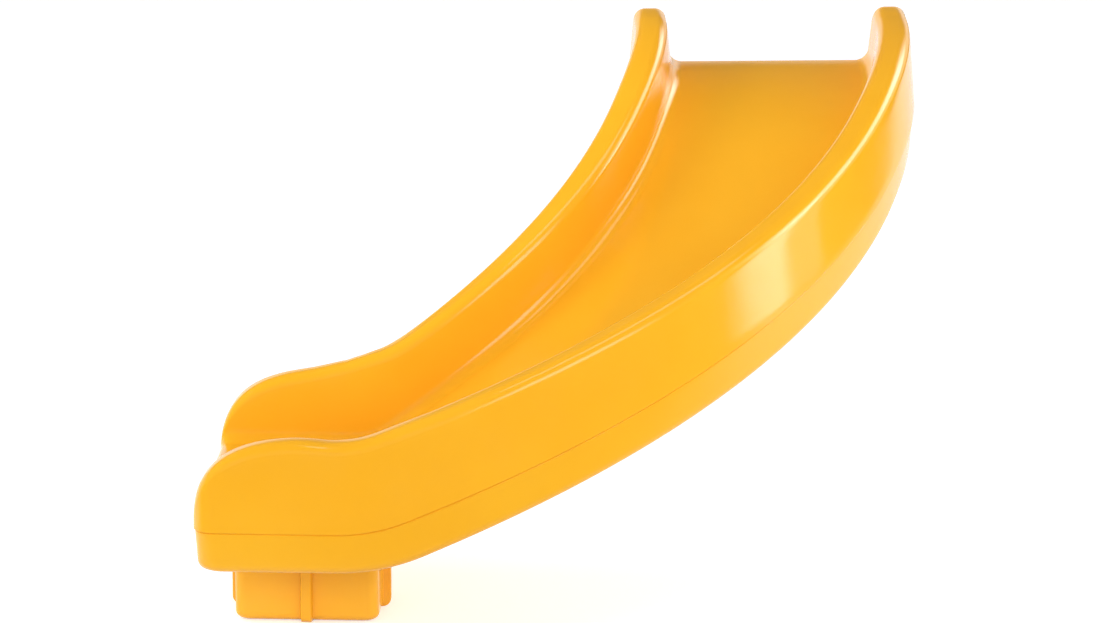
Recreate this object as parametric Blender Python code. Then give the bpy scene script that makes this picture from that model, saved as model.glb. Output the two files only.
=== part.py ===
"""Curved playground slide: a double-walled moulded chute that turns right, on a ribbed foot.

Metres, +Z up. The origin is the middle of the flat face that bolts to the deck. The rider
leaves the deck along -Y and turns right, towards -X. A place on the slide is written as a
distance along the middle of the bed, a distance across it, positive towards the inside of
the turn, and a height square to the bed.
"""
import math

import bmesh
import bpy
import numpy as np
from mathutils import Matrix, Vector

# Route of the middle of the bed, seen from above
ENTRY_RUN = 0.087
TURN_RADIUS = 0.870
TURN_ANGLE = math.radians(95.0)
EXIT_RUN = 0.297

# Slope of the bed along that route
SLOPE = math.radians(28.1)
CREST_LENGTH = 0.425
DIP_LENGTH = 0.100
EXIT_FLAT = 0.295
LEAN_LENGTH = 0.300

# Chute section
INNER_WIDTH = 0.470
BED_WIDTH = 0.443
RIM_WIDTH = 0.067
RIM_RADIUS = 0.026
BED_FILLET = 0.030
RIM_HEIGHT_ENTRY = 0.128
RIM_HEIGHT_MIDDLE = 0.129
RIM_HEIGHT_EXIT = 0.158
SADDLE_HEIGHT = 0.030
SADDLE_REACH = 0.106
OUTER_DRAFT = 0.014
SEAM_DROP = 0.043
WALL = 0.006
ENTRY_WALL = 0.010

# Ends of the chute
NOSE_LENGTH = 0.275
NOSE_POWER = 2.5
END_FACE_TOP = -0.030
LIP_RADIUS = 0.028
EXIT_CORNER = 0.045
NOSE_INNER_ROUND = 0.012
EAR_RADIUS = 0.030
ENTRY_CORNER = 0.008

# Underside pan
BODY_DEPTH = 0.133
SEAM_STEP = 0.003
SEAM_GAP = 0.0006
SKIRT_DRAFT = 0.010
SKIRT_RADIUS = 0.022
EXIT_SHARE = 0.7
DECK_EDGE_RADIUS = 0.005
TONGUE_HEIGHT = 0.008
TONGUE_THICKNESS = 0.004
FIT_GAP = 0.0005
TOUCH_GAP = 0.0003
SEAT_GAP = 0.0009

# Fasteners that hold the pan to the chute
BODY_SCREW_RADIUS = 0.004
BODY_SCREW_LENGTH = 0.022
BODY_SCREW_STATIONS = 4
BODY_SCREW_FIRST = 0.150
BODY_SCREW_ACROSS = 0.178
POST_RADIUS = 0.014
POST_ROOT_RADIUS = 0.019
HOLE_CLEARANCE = 0.0006
PAD_HEIGHT = 0.002
SPOT_DEPTH = 0.0015
HEAD_RATIO = 1.85

# Inserts that take the deck bolts
DECK_BOLT_RADIUS = 0.005
DECK_INSERT_COUNT = 4
DECK_INSERT_PITCH = 0.130
DECK_FACE_DROP = 0.088
INSERT_LENGTH = 0.018
INSERT_WALL = 0.0025

# Exit foot
FOOT_HEIGHT = 0.159
FOOT_LENGTH = 0.302
FOOT_END_GAP = 0.066
FOOT_WIDTH = 0.250
FOOT_WALL = 0.006
FOOT_CORNER = 0.022
FOOT_BASE_RADIUS = 0.018
RIB_WIDTH = 0.024
RIB_DEPTH = 0.017
FLANGE_THICKNESS = 0.014
FLANGE_END_REACH = 0.032
FLANGE_SIDE_REACH = 0.020
FLANGE_SOFTENING = 0.003
FOOT_BOLT_RADIUS = 0.005
FOOT_BOLT_LENGTH = 0.032
FOOT_BOLT_ACROSS = 0.080
FOOT_BOLT_OUTWARDS = 0.002
WASHER_RADIUS = 0.0105
WASHER_THICKNESS = 0.002
CUT_REACH = 0.010

# Facets
STATION_PITCH = 0.058
STATION_TURN = math.radians(4.2)
OUTLINE_PITCH_ALONG = 0.015
OUTLINE_PITCH_ACROSS = 0.036
BED_STRIPS = 2
PLATE_STRIPS = 4
ROUND_STEPS = 3
HIDDEN_STEPS = 2
ROUND_SIDES = 12
POST_SIDES = 12

PATH_LENGTH = ENTRY_RUN + TURN_RADIUS * TURN_ANGLE + EXIT_RUN
BED_AT_ENTRY = DECK_FACE_DROP
BODY_SCREW_LAST = PATH_LENGTH - FOOT_END_GAP - FOOT_LENGTH / 2
SEAM_HALF = INNER_WIDTH / 2 + RIM_WIDTH + OUTER_DRAFT


def clear_scene():
    """Remove every object, so that the script gives the same model each run."""
    for item in list(bpy.data.objects):
        bpy.data.objects.remove(item, do_unlink=True)


def ramp(value, start, end):
    """Rise evenly from 0 at start to 1 at end."""
    return np.clip((value - start) / (end - start), 0.0, 1.0)


def running_sum(rate, step):
    """Integrate a sampled rate by the trapezium rule, from zero."""
    return np.concatenate([[0.0], np.cumsum((rate[1:] + rate[:-1]) / 2) * step])


def build_route():
    """Sample the route: place, heading, slope and lean at even steps along the bed.

    The lean is how far the walls' sections tilt. It follows the slope, but changes over a
    longer stretch than the dip, so that the rims bend gently above it.
    """
    along = np.linspace(0.0, PATH_LENGTH, 2001)
    step = along[1]
    heading = np.clip((along - ENTRY_RUN) / TURN_RADIUS, 0.0, TURN_ANGLE)
    dip = PATH_LENGTH - EXIT_FLAT - DIP_LENGTH / 2
    crest = ramp(along, 0.0, CREST_LENGTH)
    slope = SLOPE * (crest - ramp(along, dip - DIP_LENGTH / 2, dip + DIP_LENGTH / 2))
    lean = SLOPE * (crest - ramp(along, dip - LEAN_LENGTH / 2, dip + LEAN_LENGTH / 2))
    x = running_sum(-np.sin(heading), step)
    y = running_sum(-np.cos(heading), step)
    z = BED_AT_ENTRY + running_sum(-np.tan(slope), step)
    return along, x, y, z, heading, slope, lean


ROUTE = build_route()


def frame_at(along):
    """Give the point on the bed and the ahead, across and up directions there."""
    x, y, z, heading, slope, _ = (np.interp(along, ROUTE[0], values) for values in ROUTE[1:])
    flat_x, flat_y = -np.sin(heading), -np.cos(heading)
    point = np.stack([x, y, z], axis=-1)
    ahead = np.stack([flat_x * np.cos(slope), flat_y * np.cos(slope), -np.sin(slope)], axis=-1)
    across = np.stack([flat_y, -flat_x, np.zeros_like(flat_x)], axis=-1)
    up = np.stack([flat_x * np.sin(slope), flat_y * np.sin(slope), np.cos(slope)], axis=-1)
    return point, ahead, across, up


def place(along, across, height):
    """Turn distances along, across and square to the bed into points in space.

    Heights over the bed follow the lean, heights under it are square to the bed.
    """
    point, ahead, side, up = frame_at(along)
    across, height = np.asarray(across)[..., None], np.asarray(height)[..., None]
    tip = (np.interp(along, ROUTE[0], ROUTE[6]) - np.interp(along, ROUTE[0], ROUTE[5]))[..., None]
    leaning = up * np.cos(tip) + ahead * np.sin(tip)
    return point + side * across + np.where(height > 0.0, leaning, up) * height


def below(x, y, height):
    """Find the distances along and across of the points at one height over plan points."""
    end = PATH_LENGTH
    point, _, side, _ = frame_at(np.asarray(end))
    across = (x - point[0]) * side[0] + (y - point[1]) * side[1]
    along = np.full_like(x, end)
    for _ in range(30):
        here = place(along, across, np.full_like(x, height))
        _, ahead, side, _ = frame_at(along)
        flat = np.hypot(ahead[:, 0], ahead[:, 1])
        error_x, error_y = x - here[:, 0], y - here[:, 1]
        along = along + (error_x * ahead[:, 0] + error_y * ahead[:, 1]) / flat
        across = across + error_x * side[:, 0] + error_y * side[:, 1]
    return along, across


def quarter_drop(distance, radius):
    """Give how far a quarter round of this radius has fallen back at a distance from its end."""
    inside = np.clip(1.0 - distance / radius, 0.0, 1.0)
    return radius * (1.0 - np.sqrt(1.0 - inside ** 2))


def spread_stations():
    """Choose the distances along the bed where sections are drawn.

    They are close together at both ends, and no two are further apart than a set distance
    or a set change of slope.
    """
    entry = [quarter_drop(EAR_RADIUS * k / 4, EAR_RADIUS) for k in range(4, -1, -1)]
    corner = [EXIT_CORNER * (k / 5) ** 2 for k in range(6)]
    nose = [NOSE_LENGTH * (k / 8) ** 2 for k in range(4, 9)]
    tail = sorted(PATH_LENGTH - d for d in corner + [d for d in nose if d > EXIT_CORNER * 1.2])
    along, slope, lean = ROUTE[0], ROUTE[5], ROUTE[6]
    step = along[1]
    turning = np.maximum(np.abs(np.gradient(slope, step)), np.abs(np.gradient(lean, step)))
    effort = running_sum(np.maximum(1 / STATION_PITCH, turning / STATION_TURN), step)
    fixed = [entry[-1]] + tail
    places = entry[:-1]
    for start, end in zip(fixed, fixed[1:]):
        low, high = np.interp([start, end], along, effort)
        count = math.ceil(high - low - 0.2)
        places += list(np.interp(low + (high - low) * np.arange(count) / count, effort, along))
    return np.array(places + [PATH_LENGTH])


STATIONS = spread_stations()


def rim_height(along):
    """Give the height of the wall's top: a curve through three heights, then a round nose."""
    share = along / PATH_LENGTH
    height = RIM_HEIGHT_ENTRY * (1 - share) * (1 - 2 * share)
    height = height + RIM_HEIGHT_MIDDLE * 4 * share * (1 - share)
    height = height + RIM_HEIGHT_EXIT * share * (2 * share - 1)
    reach = ramp(along, PATH_LENGTH - NOSE_LENGTH, PATH_LENGTH)
    nose = (1 - reach ** NOSE_POWER) ** (1 / NOSE_POWER)
    return END_FACE_TOP + (height - END_FACE_TOP) * nose - quarter_drop(along, EAR_RADIUS)


def saddle(along):
    """Give the extra height of the inside rim over the dip, a bell-shaped rise."""
    dip = PATH_LENGTH - EXIT_FLAT - DIP_LENGTH / 2
    return SADDLE_HEIGHT * np.exp(-((along - dip) / SADDLE_REACH) ** 2)


def bed_height(along):
    """Give the height of the bed, which rolls over a lip at the exit."""
    return -quarter_drop(PATH_LENGTH - along, LIP_RADIUS)


def corner_inset(along):
    """Give how far the outer walls draw in to round the corners, seen from above."""
    return quarter_drop(PATH_LENGTH - along, EXIT_CORNER) + quarter_drop(along, ENTRY_CORNER)


def rounded_chain(points, radii, steps):
    """Round the inner corners of an open outline with arcs of a set number of steps.

    A radius that would use more than 48% of an edge is cut down to that.
    """
    chain = [Vector(points[0])]
    for before, corner, after, radius in zip(points, points[1:], points[2:], radii):
        before, corner, after = Vector(before), Vector(corner), Vector(after)
        into, out = (corner - before), (after - corner)
        shortest = min(into.length, out.length)
        into.normalize()
        out.normalize()
        turn = into.angle_signed(out, 0.0)
        half = math.tan(abs(turn) / 2)
        reach = min(radius * half, 0.48 * shortest)
        size = reach / half if half > 1e-6 else 0.0
        side = Vector((into.y, -into.x)) * math.copysign(1.0, turn)
        centre = corner - into * reach + side * size
        for k in range(steps + 1):
            angle = turn * k / steps
            spoke = Matrix.Rotation(-angle, 2) @ (-side * size)
            chain.append(centre + spoke)
    chain.append(Vector(points[-1]))
    return chain


def chute_half_section(along, inside, inset, steps):
    """Draw half of the chute's skin at one station, from the seam over the rim to mid bed."""
    rim, bed = float(rim_height(along)), float(bed_height(along))
    if inside:
        rim += float(saddle(along))
    drawn_in = float(corner_inset(along))
    full = RIM_HEIGHT_MIDDLE
    outer_low = SEAM_HALF - drawn_in
    outer_top = outer_low - OUTER_DRAFT * (rim + SEAM_DROP) / (full + SEAM_DROP)
    nose_round = float(quarter_drop(PATH_LENGTH - along, NOSE_INNER_ROUND))
    lean = (INNER_WIDTH - BED_WIDTH) / 2 * (rim - bed) / full
    inner_top = BED_WIDTH / 2 + lean + nose_round
    inner_low = BED_WIDTH / 2 + nose_round
    outline = [
        (outer_low - inset, -SEAM_DROP),
        (outer_top - inset, rim - inset),
        (inner_top + inset, rim - inset),
        (inner_low + inset, bed - inset),
        (0.0, bed - inset),
    ]
    radii = [RIM_RADIUS - inset, RIM_RADIUS - inset, BED_FILLET + inset]
    chain = rounded_chain(outline, radii, steps)
    return chain[:-1] + [chain[-2].lerp(chain[-1], k / BED_STRIPS) for k in range(1, BED_STRIPS + 1)]


def chute_skin(inset, entry_inset, exit_inset, steps):
    """Carry the chute's section along the route. An inset gives the inner skin."""
    rows = []
    for along in STATIONS:
        inner = chute_half_section(along, True, inset, steps)
        outer = chute_half_section(along, False, inset, steps)[:-1]
        shifted = entry_inset + along * (PATH_LENGTH - entry_inset - exit_inset) / PATH_LENGTH
        across = np.array([p.x for p in inner] + [-p.x for p in reversed(outer)])
        height = np.array([p.y for p in inner] + [p.y for p in reversed(outer)])
        rows.append(place(np.full(len(across), shifted), across, height))
    return rows


def add_rows(mesh, rows):
    """Add rows of points to a mesh and return their vertices, row by row."""
    return [[mesh.verts.new(point) for point in row] for row in rows]


def join_rows(mesh, first, second, closed=False):
    """Join two rows of vertices with four-sided faces."""
    count = len(first)
    for k in range(count if closed else count - 1):
        n = (k + 1) % count
        mesh.faces.new((first[k], first[n], second[n], second[k]))


def finish_mesh(mesh, name, material, sharp_angle=35.0):
    """Point the faces outwards, shade round pieces smooth and make the object."""
    bmesh.ops.recalc_face_normals(mesh, faces=mesh.faces)
    data = bpy.data.meshes.new(name)
    mesh.to_mesh(data)
    mesh.free()
    data.shade_smooth()
    data.set_sharp_from_angle(angle=math.radians(sharp_angle))
    data.materials.append(material)
    made = bpy.data.objects.new(name, data)
    bpy.context.collection.objects.link(made)
    return made


def make_material(name, colour, roughness, metallic=0.0):
    """Make one plain finish."""
    material = bpy.data.materials.new(name)
    material.use_nodes = True
    shader = material.node_tree.nodes["Principled BSDF"]
    shader.inputs["Base Color"].default_value = (*colour, 1.0)
    shader.inputs["Roughness"].default_value = roughness
    shader.inputs["Metallic"].default_value = metallic
    return material


def turned_rings(profile, sides, hexagon=()):
    """Stack rings from (radius, height) pairs. Rings whose number is in hexagon get flats."""
    rings = []
    for number, (radius, height) in enumerate(profile):
        ring = []
        for k in range(sides):
            angle = 2 * math.pi * k / sides
            reach = radius
            if number in hexagon:
                from_flat = (angle % (math.pi / 3)) - math.pi / 6
                reach = radius * math.cos(math.pi / 6) / math.cos(from_flat)
            ring.append(Vector((reach * math.cos(angle), reach * math.sin(angle), height)))
        rings.append(ring)
    return rings


def turned_object(name, profile, material, sides=ROUND_SIDES, hexagon=(), hollow=False):
    """Turn a profile about Z. A hollow one closes on itself, another has flat end caps."""
    mesh = bmesh.new()
    rings = add_rows(mesh, turned_rings(profile, sides, hexagon))
    for first, second in zip(rings, rings[1:]):
        join_rows(mesh, first, second, closed=True)
    if hollow:
        join_rows(mesh, rings[-1], rings[0], closed=True)
    else:
        mesh.faces.new(rings[0])
        mesh.faces.new(rings[-1])
    return finish_mesh(mesh, name, material)


def stand_on_bed(made, along, across, height):
    """Put an object at a place on the slide, with its Z axis square to the bed."""
    point = place(np.asarray(along), np.asarray(across), np.asarray(height))
    _, ahead, side, up = frame_at(np.asarray(along))
    turn = Matrix((side, np.cross(up, side), up)).transposed()
    made.matrix_world = Matrix.Translation(point) @ turn.to_4x4()
    bpy.context.view_layer.update()


def boolean(target, cutter, operation):
    """Join a shape to the target or cut it away, and apply the change."""
    change = target.modifiers.new(operation.lower(), "BOOLEAN")
    change.operation = operation
    change.solver = "EXACT"
    change.object = cutter
    bpy.context.view_layer.update()
    result = bpy.data.meshes.new_from_object(target.evaluated_get(bpy.context.evaluated_depsgraph_get()))
    target.modifiers.remove(change)
    target.data = result
    bpy.data.objects.remove(cutter, do_unlink=True)


def make_chute(material):
    """Make the chute: bed, walls, rims and outer walls down to the seam, open below."""
    mesh = bmesh.new()
    outer = add_rows(mesh, chute_skin(0.0, 0.0, 0.0, ROUND_STEPS))
    inner = add_rows(mesh, chute_skin(WALL, ENTRY_WALL, WALL, HIDDEN_STEPS))
    for skin in (outer, inner):
        for first, second in zip(skin, skin[1:]):
            join_rows(mesh, first, second)
        mesh.faces.new(skin[0])
        mesh.faces.new(skin[-1])
    for side in (0, -1):
        join_rows(mesh, [row[side] for row in outer], [row[side] for row in inner])
    for end in (0, -1):
        mesh.faces.new((outer[end][0], outer[end][-1], inner[end][-1], inner[end][0]))
    return finish_mesh(mesh, "chute", material)


def pan_ring(side_inset, exit_inset, entry_inset, height, entry_height):
    """Draw one ring round the body: down its left side, across the exit, back up and across."""
    along = entry_inset + STATIONS * (PATH_LENGTH - entry_inset - exit_inset) / PATH_LENGTH
    half = SEAM_HALF - corner_inset(STATIONS) - side_inset
    heights = np.full(len(STATIONS), height)
    heights[0] = entry_height
    heights[-1] = min(height, END_FACE_TOP - WALL - TONGUE_HEIGHT / 4)
    left = place(along, half, heights)
    right = place(along, -half, heights)
    share = (np.arange(1, PLATE_STRIPS) / PLATE_STRIPS)[:, None]
    exit_row = left[-1] + (right[-1] - left[-1]) * share
    entry_row = right[0] + (left[0] - right[0]) * share
    return np.concatenate([left, exit_row, right[::-1], entry_row])


def fill_plate(mesh, ring):
    """Fill a ring with a grid of faces that runs from its left side to its right side."""
    count, strips = len(STATIONS), PLATE_STRIPS
    exit_row = ring[count - 1:count + strips]
    right = ring[count + strips - 1:2 * count + strips - 1][::-1]
    entry_row = (ring[2 * count + strips - 2:] + ring[:1])[::-1]
    rows = [entry_row]
    for first, last in list(zip(ring[:count], right))[1:-1]:
        inner = [mesh.verts.new(first.co.lerp(last.co, k / strips)) for k in range(1, strips)]
        rows.append([first] + inner + [last])
    rows.append(exit_row)
    for first, second in zip(rows, rows[1:]):
        join_rows(mesh, first, second)


def pan_rings():
    """List the rings of the pan's outer skin and inner skin, from the tongue to the plate."""
    seam = -SEAM_DROP - SEAM_GAP
    tongue_top = -SEAM_DROP + TONGUE_HEIGHT
    tongue = WALL + FIT_GAP
    entry_tongue = ENTRY_WALL + FIT_GAP
    skirt = rounded_chain(
        [(SEAM_STEP, seam), (SKIRT_DRAFT, -BODY_DEPTH), (SKIRT_DRAFT + 0.2, -BODY_DEPTH)],
        [SKIRT_RADIUS], ROUND_STEPS)[:-1]
    deck_end = rounded_chain(
        [(0.0, seam), (0.0, -BODY_DEPTH), (0.2, -BODY_DEPTH)], [DECK_EDGE_RADIUS], ROUND_STEPS)[:-1]
    lean = OUTER_DRAFT * TONGUE_HEIGHT / (RIM_HEIGHT_MIDDLE + SEAM_DROP)
    outer = [(tongue + lean, tongue, entry_tongue, tongue_top, tongue_top)]
    outer.append((tongue, tongue, entry_tongue, seam, seam))
    for p, q in zip(skirt, deck_end):
        exit_inset = SEAM_STEP + (p.x - SEAM_STEP) * EXIT_SHARE
        outer.append((p.x, exit_inset, q.x, p.y, q.y))
    floor = -BODY_DEPTH + WALL
    inside = tongue + TONGUE_THICKNESS
    entry_inside = entry_tongue + TONGUE_THICKNESS
    inner_skirt = rounded_chain(
        [(inside, seam), (SKIRT_DRAFT + WALL, floor), (SKIRT_DRAFT + 0.2, floor)],
        [SKIRT_RADIUS - WALL], HIDDEN_STEPS)[:-1]
    inner_end = rounded_chain(
        [(entry_inside, seam), (entry_inside, floor), (entry_inside + 0.2, floor)],
        [DECK_EDGE_RADIUS], HIDDEN_STEPS)[:-1]
    inner = [(inside + lean, inside, entry_inside, tongue_top, tongue_top)]
    inner += [(p.x, p.x, q.x, p.y, q.y) for p, q in zip(inner_skirt, inner_end)]
    return outer, inner


def make_pan(material):
    """Make the pan: skirt, ends and underside, with a tongue that locates in the chute."""
    mesh = bmesh.new()
    skins = []
    for rings in pan_rings():
        loops = add_rows(mesh, [pan_ring(*ring) for ring in rings])
        for first, second in zip(loops, loops[1:]):
            join_rows(mesh, first, second, closed=True)
        fill_plate(mesh, loops[-1])
        skins.append(loops)
    join_rows(mesh, skins[0][0], skins[1][0], closed=True)
    return finish_mesh(mesh, "underside_pan", material)


def make_insert(name, bolt_radius, material):
    """Make a brass insert: a collared tube, mouth at the origin, that runs up along Z."""
    bore = bolt_radius + TOUCH_GAP
    body = bore + INSERT_WALL
    profile = [
        (bore, 0.0), (body, 0.0), (body, INSERT_LENGTH), (bore, INSERT_LENGTH),
    ]
    return turned_object(name, profile, material, hollow=True)


def make_bolt(name, radius, length, material):
    """Make a hexagon bolt with its seat at the origin and its shank up along Z."""
    head = radius * HEAD_RATIO
    chamfer = radius * 0.2
    profile = [
        (head * 0.86, -radius * 1.3), (head, -radius * 1.3 + chamfer), (head, 0.0),
        (radius, 0.0), (radius, length - chamfer), (radius - chamfer, length),
    ]
    return turned_object(name, profile, material, hexagon=(1, 2))


def change_round(target, operation, profile, pose, sides=ROUND_SIDES):
    """Add or cut a turned shape, put in place by a function."""
    tool = turned_object("tool", profile, target.data.materials[0], sides=sides)
    pose(tool)
    boolean(target, tool, operation)


def body_screw_places():
    """Give the distances along and across of the screws that hold the pan."""
    step = (BODY_SCREW_LAST - BODY_SCREW_FIRST) / (BODY_SCREW_STATIONS - 1)
    for number in range(BODY_SCREW_STATIONS):
        for side in (1, -1):
            yield BODY_SCREW_FIRST + number * step, side * BODY_SCREW_ACROSS


def fasten_pan(chute, pan, steel, brass):
    """Add the posts under the bed, their inserts and the screws that come up through the pan."""
    floor = WALL + PAD_HEIGHT
    foot_of_post = floor + TOUCH_GAP
    hole = BODY_SCREW_RADIUS + INSERT_WALL + 2 * TOUCH_GAP
    clearance = BODY_SCREW_RADIUS + HOLE_CLEARANCE
    recess = BODY_SCREW_RADIUS * HEAD_RATIO + 2 * HOLE_CLEARANCE
    pad = POST_RADIUS + PAD_HEIGHT
    for number, (along, across) in enumerate(body_screw_places(), start=1):
        def pose(made):
            """Stand a shape on the outside of the pan at this screw."""
            stand_on_bed(made, along, across, -BODY_DEPTH)

        change_round(chute, "UNION", [(POST_RADIUS, foot_of_post), (POST_ROOT_RADIUS, BODY_DEPTH - WALL / 2)],
                     pose, POST_SIDES)
        change_round(chute, "DIFFERENCE", [(hole, 0.0), (hole, foot_of_post + INSERT_LENGTH + TOUCH_GAP)], pose)
        change_round(pan, "UNION", [(pad + PAD_HEIGHT, WALL / 2), (pad, floor)], pose, POST_SIDES)
        change_round(pan, "DIFFERENCE", [(recess, -CUT_REACH), (recess, SPOT_DEPTH)], pose)
        change_round(pan, "DIFFERENCE", [(clearance, 0.0), (clearance, floor + CUT_REACH)], pose)
        insert = make_insert(f"body_insert_{number}", BODY_SCREW_RADIUS, brass)
        stand_on_bed(insert, along, across, -BODY_DEPTH + foot_of_post)
        screw = make_bolt(f"body_screw_{number}", BODY_SCREW_RADIUS, BODY_SCREW_LENGTH, steel)
        stand_on_bed(screw, along, across, -BODY_DEPTH + SPOT_DEPTH - TOUCH_GAP)


def deck_insert_places():
    """Give the x of each deck bolt, spread evenly about the middle."""
    for number in range(DECK_INSERT_COUNT):
        yield (number - (DECK_INSERT_COUNT - 1) / 2) * DECK_INSERT_PITCH


def fit_deck_inserts(pan, brass):
    """Add the bosses behind the deck face and the inserts that take the deck bolts."""
    hole = DECK_BOLT_RADIUS + INSERT_WALL + 2 * TOUCH_GAP
    facing = Matrix.Rotation(math.radians(90.0), 4, "X")
    for number, x in enumerate(deck_insert_places(), start=1):
        def pose(made):
            """Point a shape's Z axis into the pan from the deck face at this bolt."""
            made.matrix_world = Matrix.Translation((x, 0.0, 0.0)) @ facing

        change_round(pan, "UNION", [(hole + WALL, WALL), (hole + WALL, INSERT_LENGTH + WALL)], pose, POST_SIDES)
        change_round(pan, "DIFFERENCE", [(hole, -CUT_REACH), (hole, INSERT_LENGTH + TOUCH_GAP)], pose)
        pose(make_insert(f"deck_insert_{number}", DECK_BOLT_RADIUS, brass))


def foot_outline(end_reach, side_reach, depth):
    """Draw the corners of the foot's outline, as distances from the exit end and across."""
    near, far = FOOT_END_GAP - end_reach, FOOT_END_GAP + FOOT_LENGTH + end_reach
    half = FOOT_WIDTH / 2 + side_reach
    middle = (near + far) / 2
    corner_u, corner_v = (far - near) / 2 - FOOT_CORNER, half - FOOT_CORNER
    sides = [(middle, half, 0, 1), (near, 0, -1, 0), (middle, -half, 0, -1), (far, 0, 1, 0)]
    signs = [(1, 1), (-1, 1), (-1, -1), (1, -1)]
    points = []
    for number, (side_u, side_v, out_u, out_v) in enumerate(sides):
        sign_u, sign_v = signs[number]
        for k in range(ROUND_STEPS + 1):
            angle = math.pi / 2 * (number + k / ROUND_STEPS)
            points.append((middle + sign_u * corner_u + FOOT_CORNER * math.cos(angle),
                           sign_v * corner_v + FOOT_CORNER * math.sin(angle)))
        for run, out in ((-0.5, 0), (-0.4, 1), (0.4, 1), (0.5, 0)):
            points.append((side_u - run * out_v * RIB_WIDTH + out * out_u * depth,
                           side_v + run * out_u * RIB_WIDTH + out * out_v * depth))
    return np.array(points)


def foot_plan(end_reach, side_reach, ribbed):
    """Draw the foot's outline with extra points along its longer edges, to follow the underside.

    The number of points on each edge comes from one plain outline, so that every ring of the
    foot has as many points as the next.
    """
    points = foot_outline(end_reach, side_reach, RIB_DEPTH if ribbed else 0.0)
    plain = foot_outline(0.0, 0.0, 0.0)
    pitch = (OUTLINE_PITCH_ALONG, OUTLINE_PITCH_ACROSS)
    counts = np.max(np.abs(np.roll(plain, -1, axis=0) - plain) / pitch, axis=1)
    split = []
    for start, end, count in zip(points, np.roll(points, -1, axis=0), counts):
        count = max(1, round(float(count)))
        split += [start + (end - start) * k / count for k in range(count)]
    return np.array(split)


def exit_plan_to_world(plan):
    """Turn distances from the exit end and across into x and y."""
    point, ahead, side, _ = frame_at(np.asarray(PATH_LENGTH))
    back = -ahead[:2]
    world = point[:2] + plan[:, :1] * back + plan[:, 1:] * side[:2]
    return world[:, 0], world[:, 1]


def ground_height():
    """Give the height of the ground under the foot."""
    point, _, _, _ = frame_at(np.asarray(PATH_LENGTH))
    return float(point[2]) - BODY_DEPTH - FOOT_HEIGHT


def level_ring(plan, height):
    """Lift an outline to one level."""
    x, y = exit_plan_to_world(plan)
    return np.stack([x, y, np.full_like(x, height)], axis=-1)


def fitted_ring(plan, drop):
    """Lift an outline up to the underside, less a distance square to it."""
    x, y = exit_plan_to_world(plan)
    height = -BODY_DEPTH - SEAT_GAP - drop
    along, across = below(x, y, height)
    return place(along, across, np.full_like(x, height))


def make_foot(material):
    """Make the foot: a ribbed box, closed below, whose flange follows the underside."""
    ground = ground_height()
    rings = []
    for k in range(3):
        angle = math.radians(45.0 * k)
        drawn_in = FOOT_BASE_RADIUS * (1 - math.sin(angle))
        lift = FOOT_BASE_RADIUS * (1 - math.cos(angle))
        rings.append(level_ring(foot_plan(-drawn_in, -drawn_in, True), ground + lift))
    rings.append(fitted_ring(foot_plan(0.0, 0.0, True), FLANGE_THICKNESS))
    flange = (FLANGE_END_REACH, FLANGE_SIDE_REACH, False)
    softened = (FLANGE_END_REACH - FLANGE_SOFTENING, FLANGE_SIDE_REACH - FLANGE_SOFTENING, False)
    rings.append(fitted_ring(foot_plan(*softened), FLANGE_THICKNESS))
    rings.append(fitted_ring(foot_plan(*flange), FLANGE_THICKNESS - FLANGE_SOFTENING))
    rings.append(fitted_ring(foot_plan(*flange), 0.0))
    rings.append(fitted_ring(foot_plan(FLANGE_END_REACH / 2, FLANGE_SIDE_REACH / 2, False), 0.0))
    inside = (-FOOT_WALL, -FOOT_WALL, False)
    rings.append(fitted_ring(foot_plan(*inside), 0.0))
    rings.append(level_ring(foot_plan(*inside), ground + FOOT_WALL + FOOT_BASE_RADIUS))
    lower = -FOOT_WALL - FOOT_BASE_RADIUS / 2
    rings.append(level_ring(foot_plan(lower, lower, False), ground + FOOT_WALL))
    mesh = bmesh.new()
    loops = add_rows(mesh, rings)
    for first, second in zip(loops, loops[1:]):
        join_rows(mesh, first, second, closed=True)
    mesh.faces.new(loops[0])
    mesh.faces.new(loops[-1])
    return finish_mesh(mesh, "exit_foot", material)


def foot_bolt_places():
    """Give the distances along and across of the four foot bolts."""
    reach = FLANGE_END_REACH / 2 + FOOT_BOLT_OUTWARDS
    ends = (FOOT_END_GAP - reach, FOOT_END_GAP + FOOT_LENGTH + reach)
    plan = np.array([(end, side * FOOT_BOLT_ACROSS) for end in ends for side in (1, -1)])
    x, y = exit_plan_to_world(plan)
    along, across = below(x, y, -BODY_DEPTH - FLANGE_THICKNESS / 2)
    return list(zip(along, across))


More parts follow.
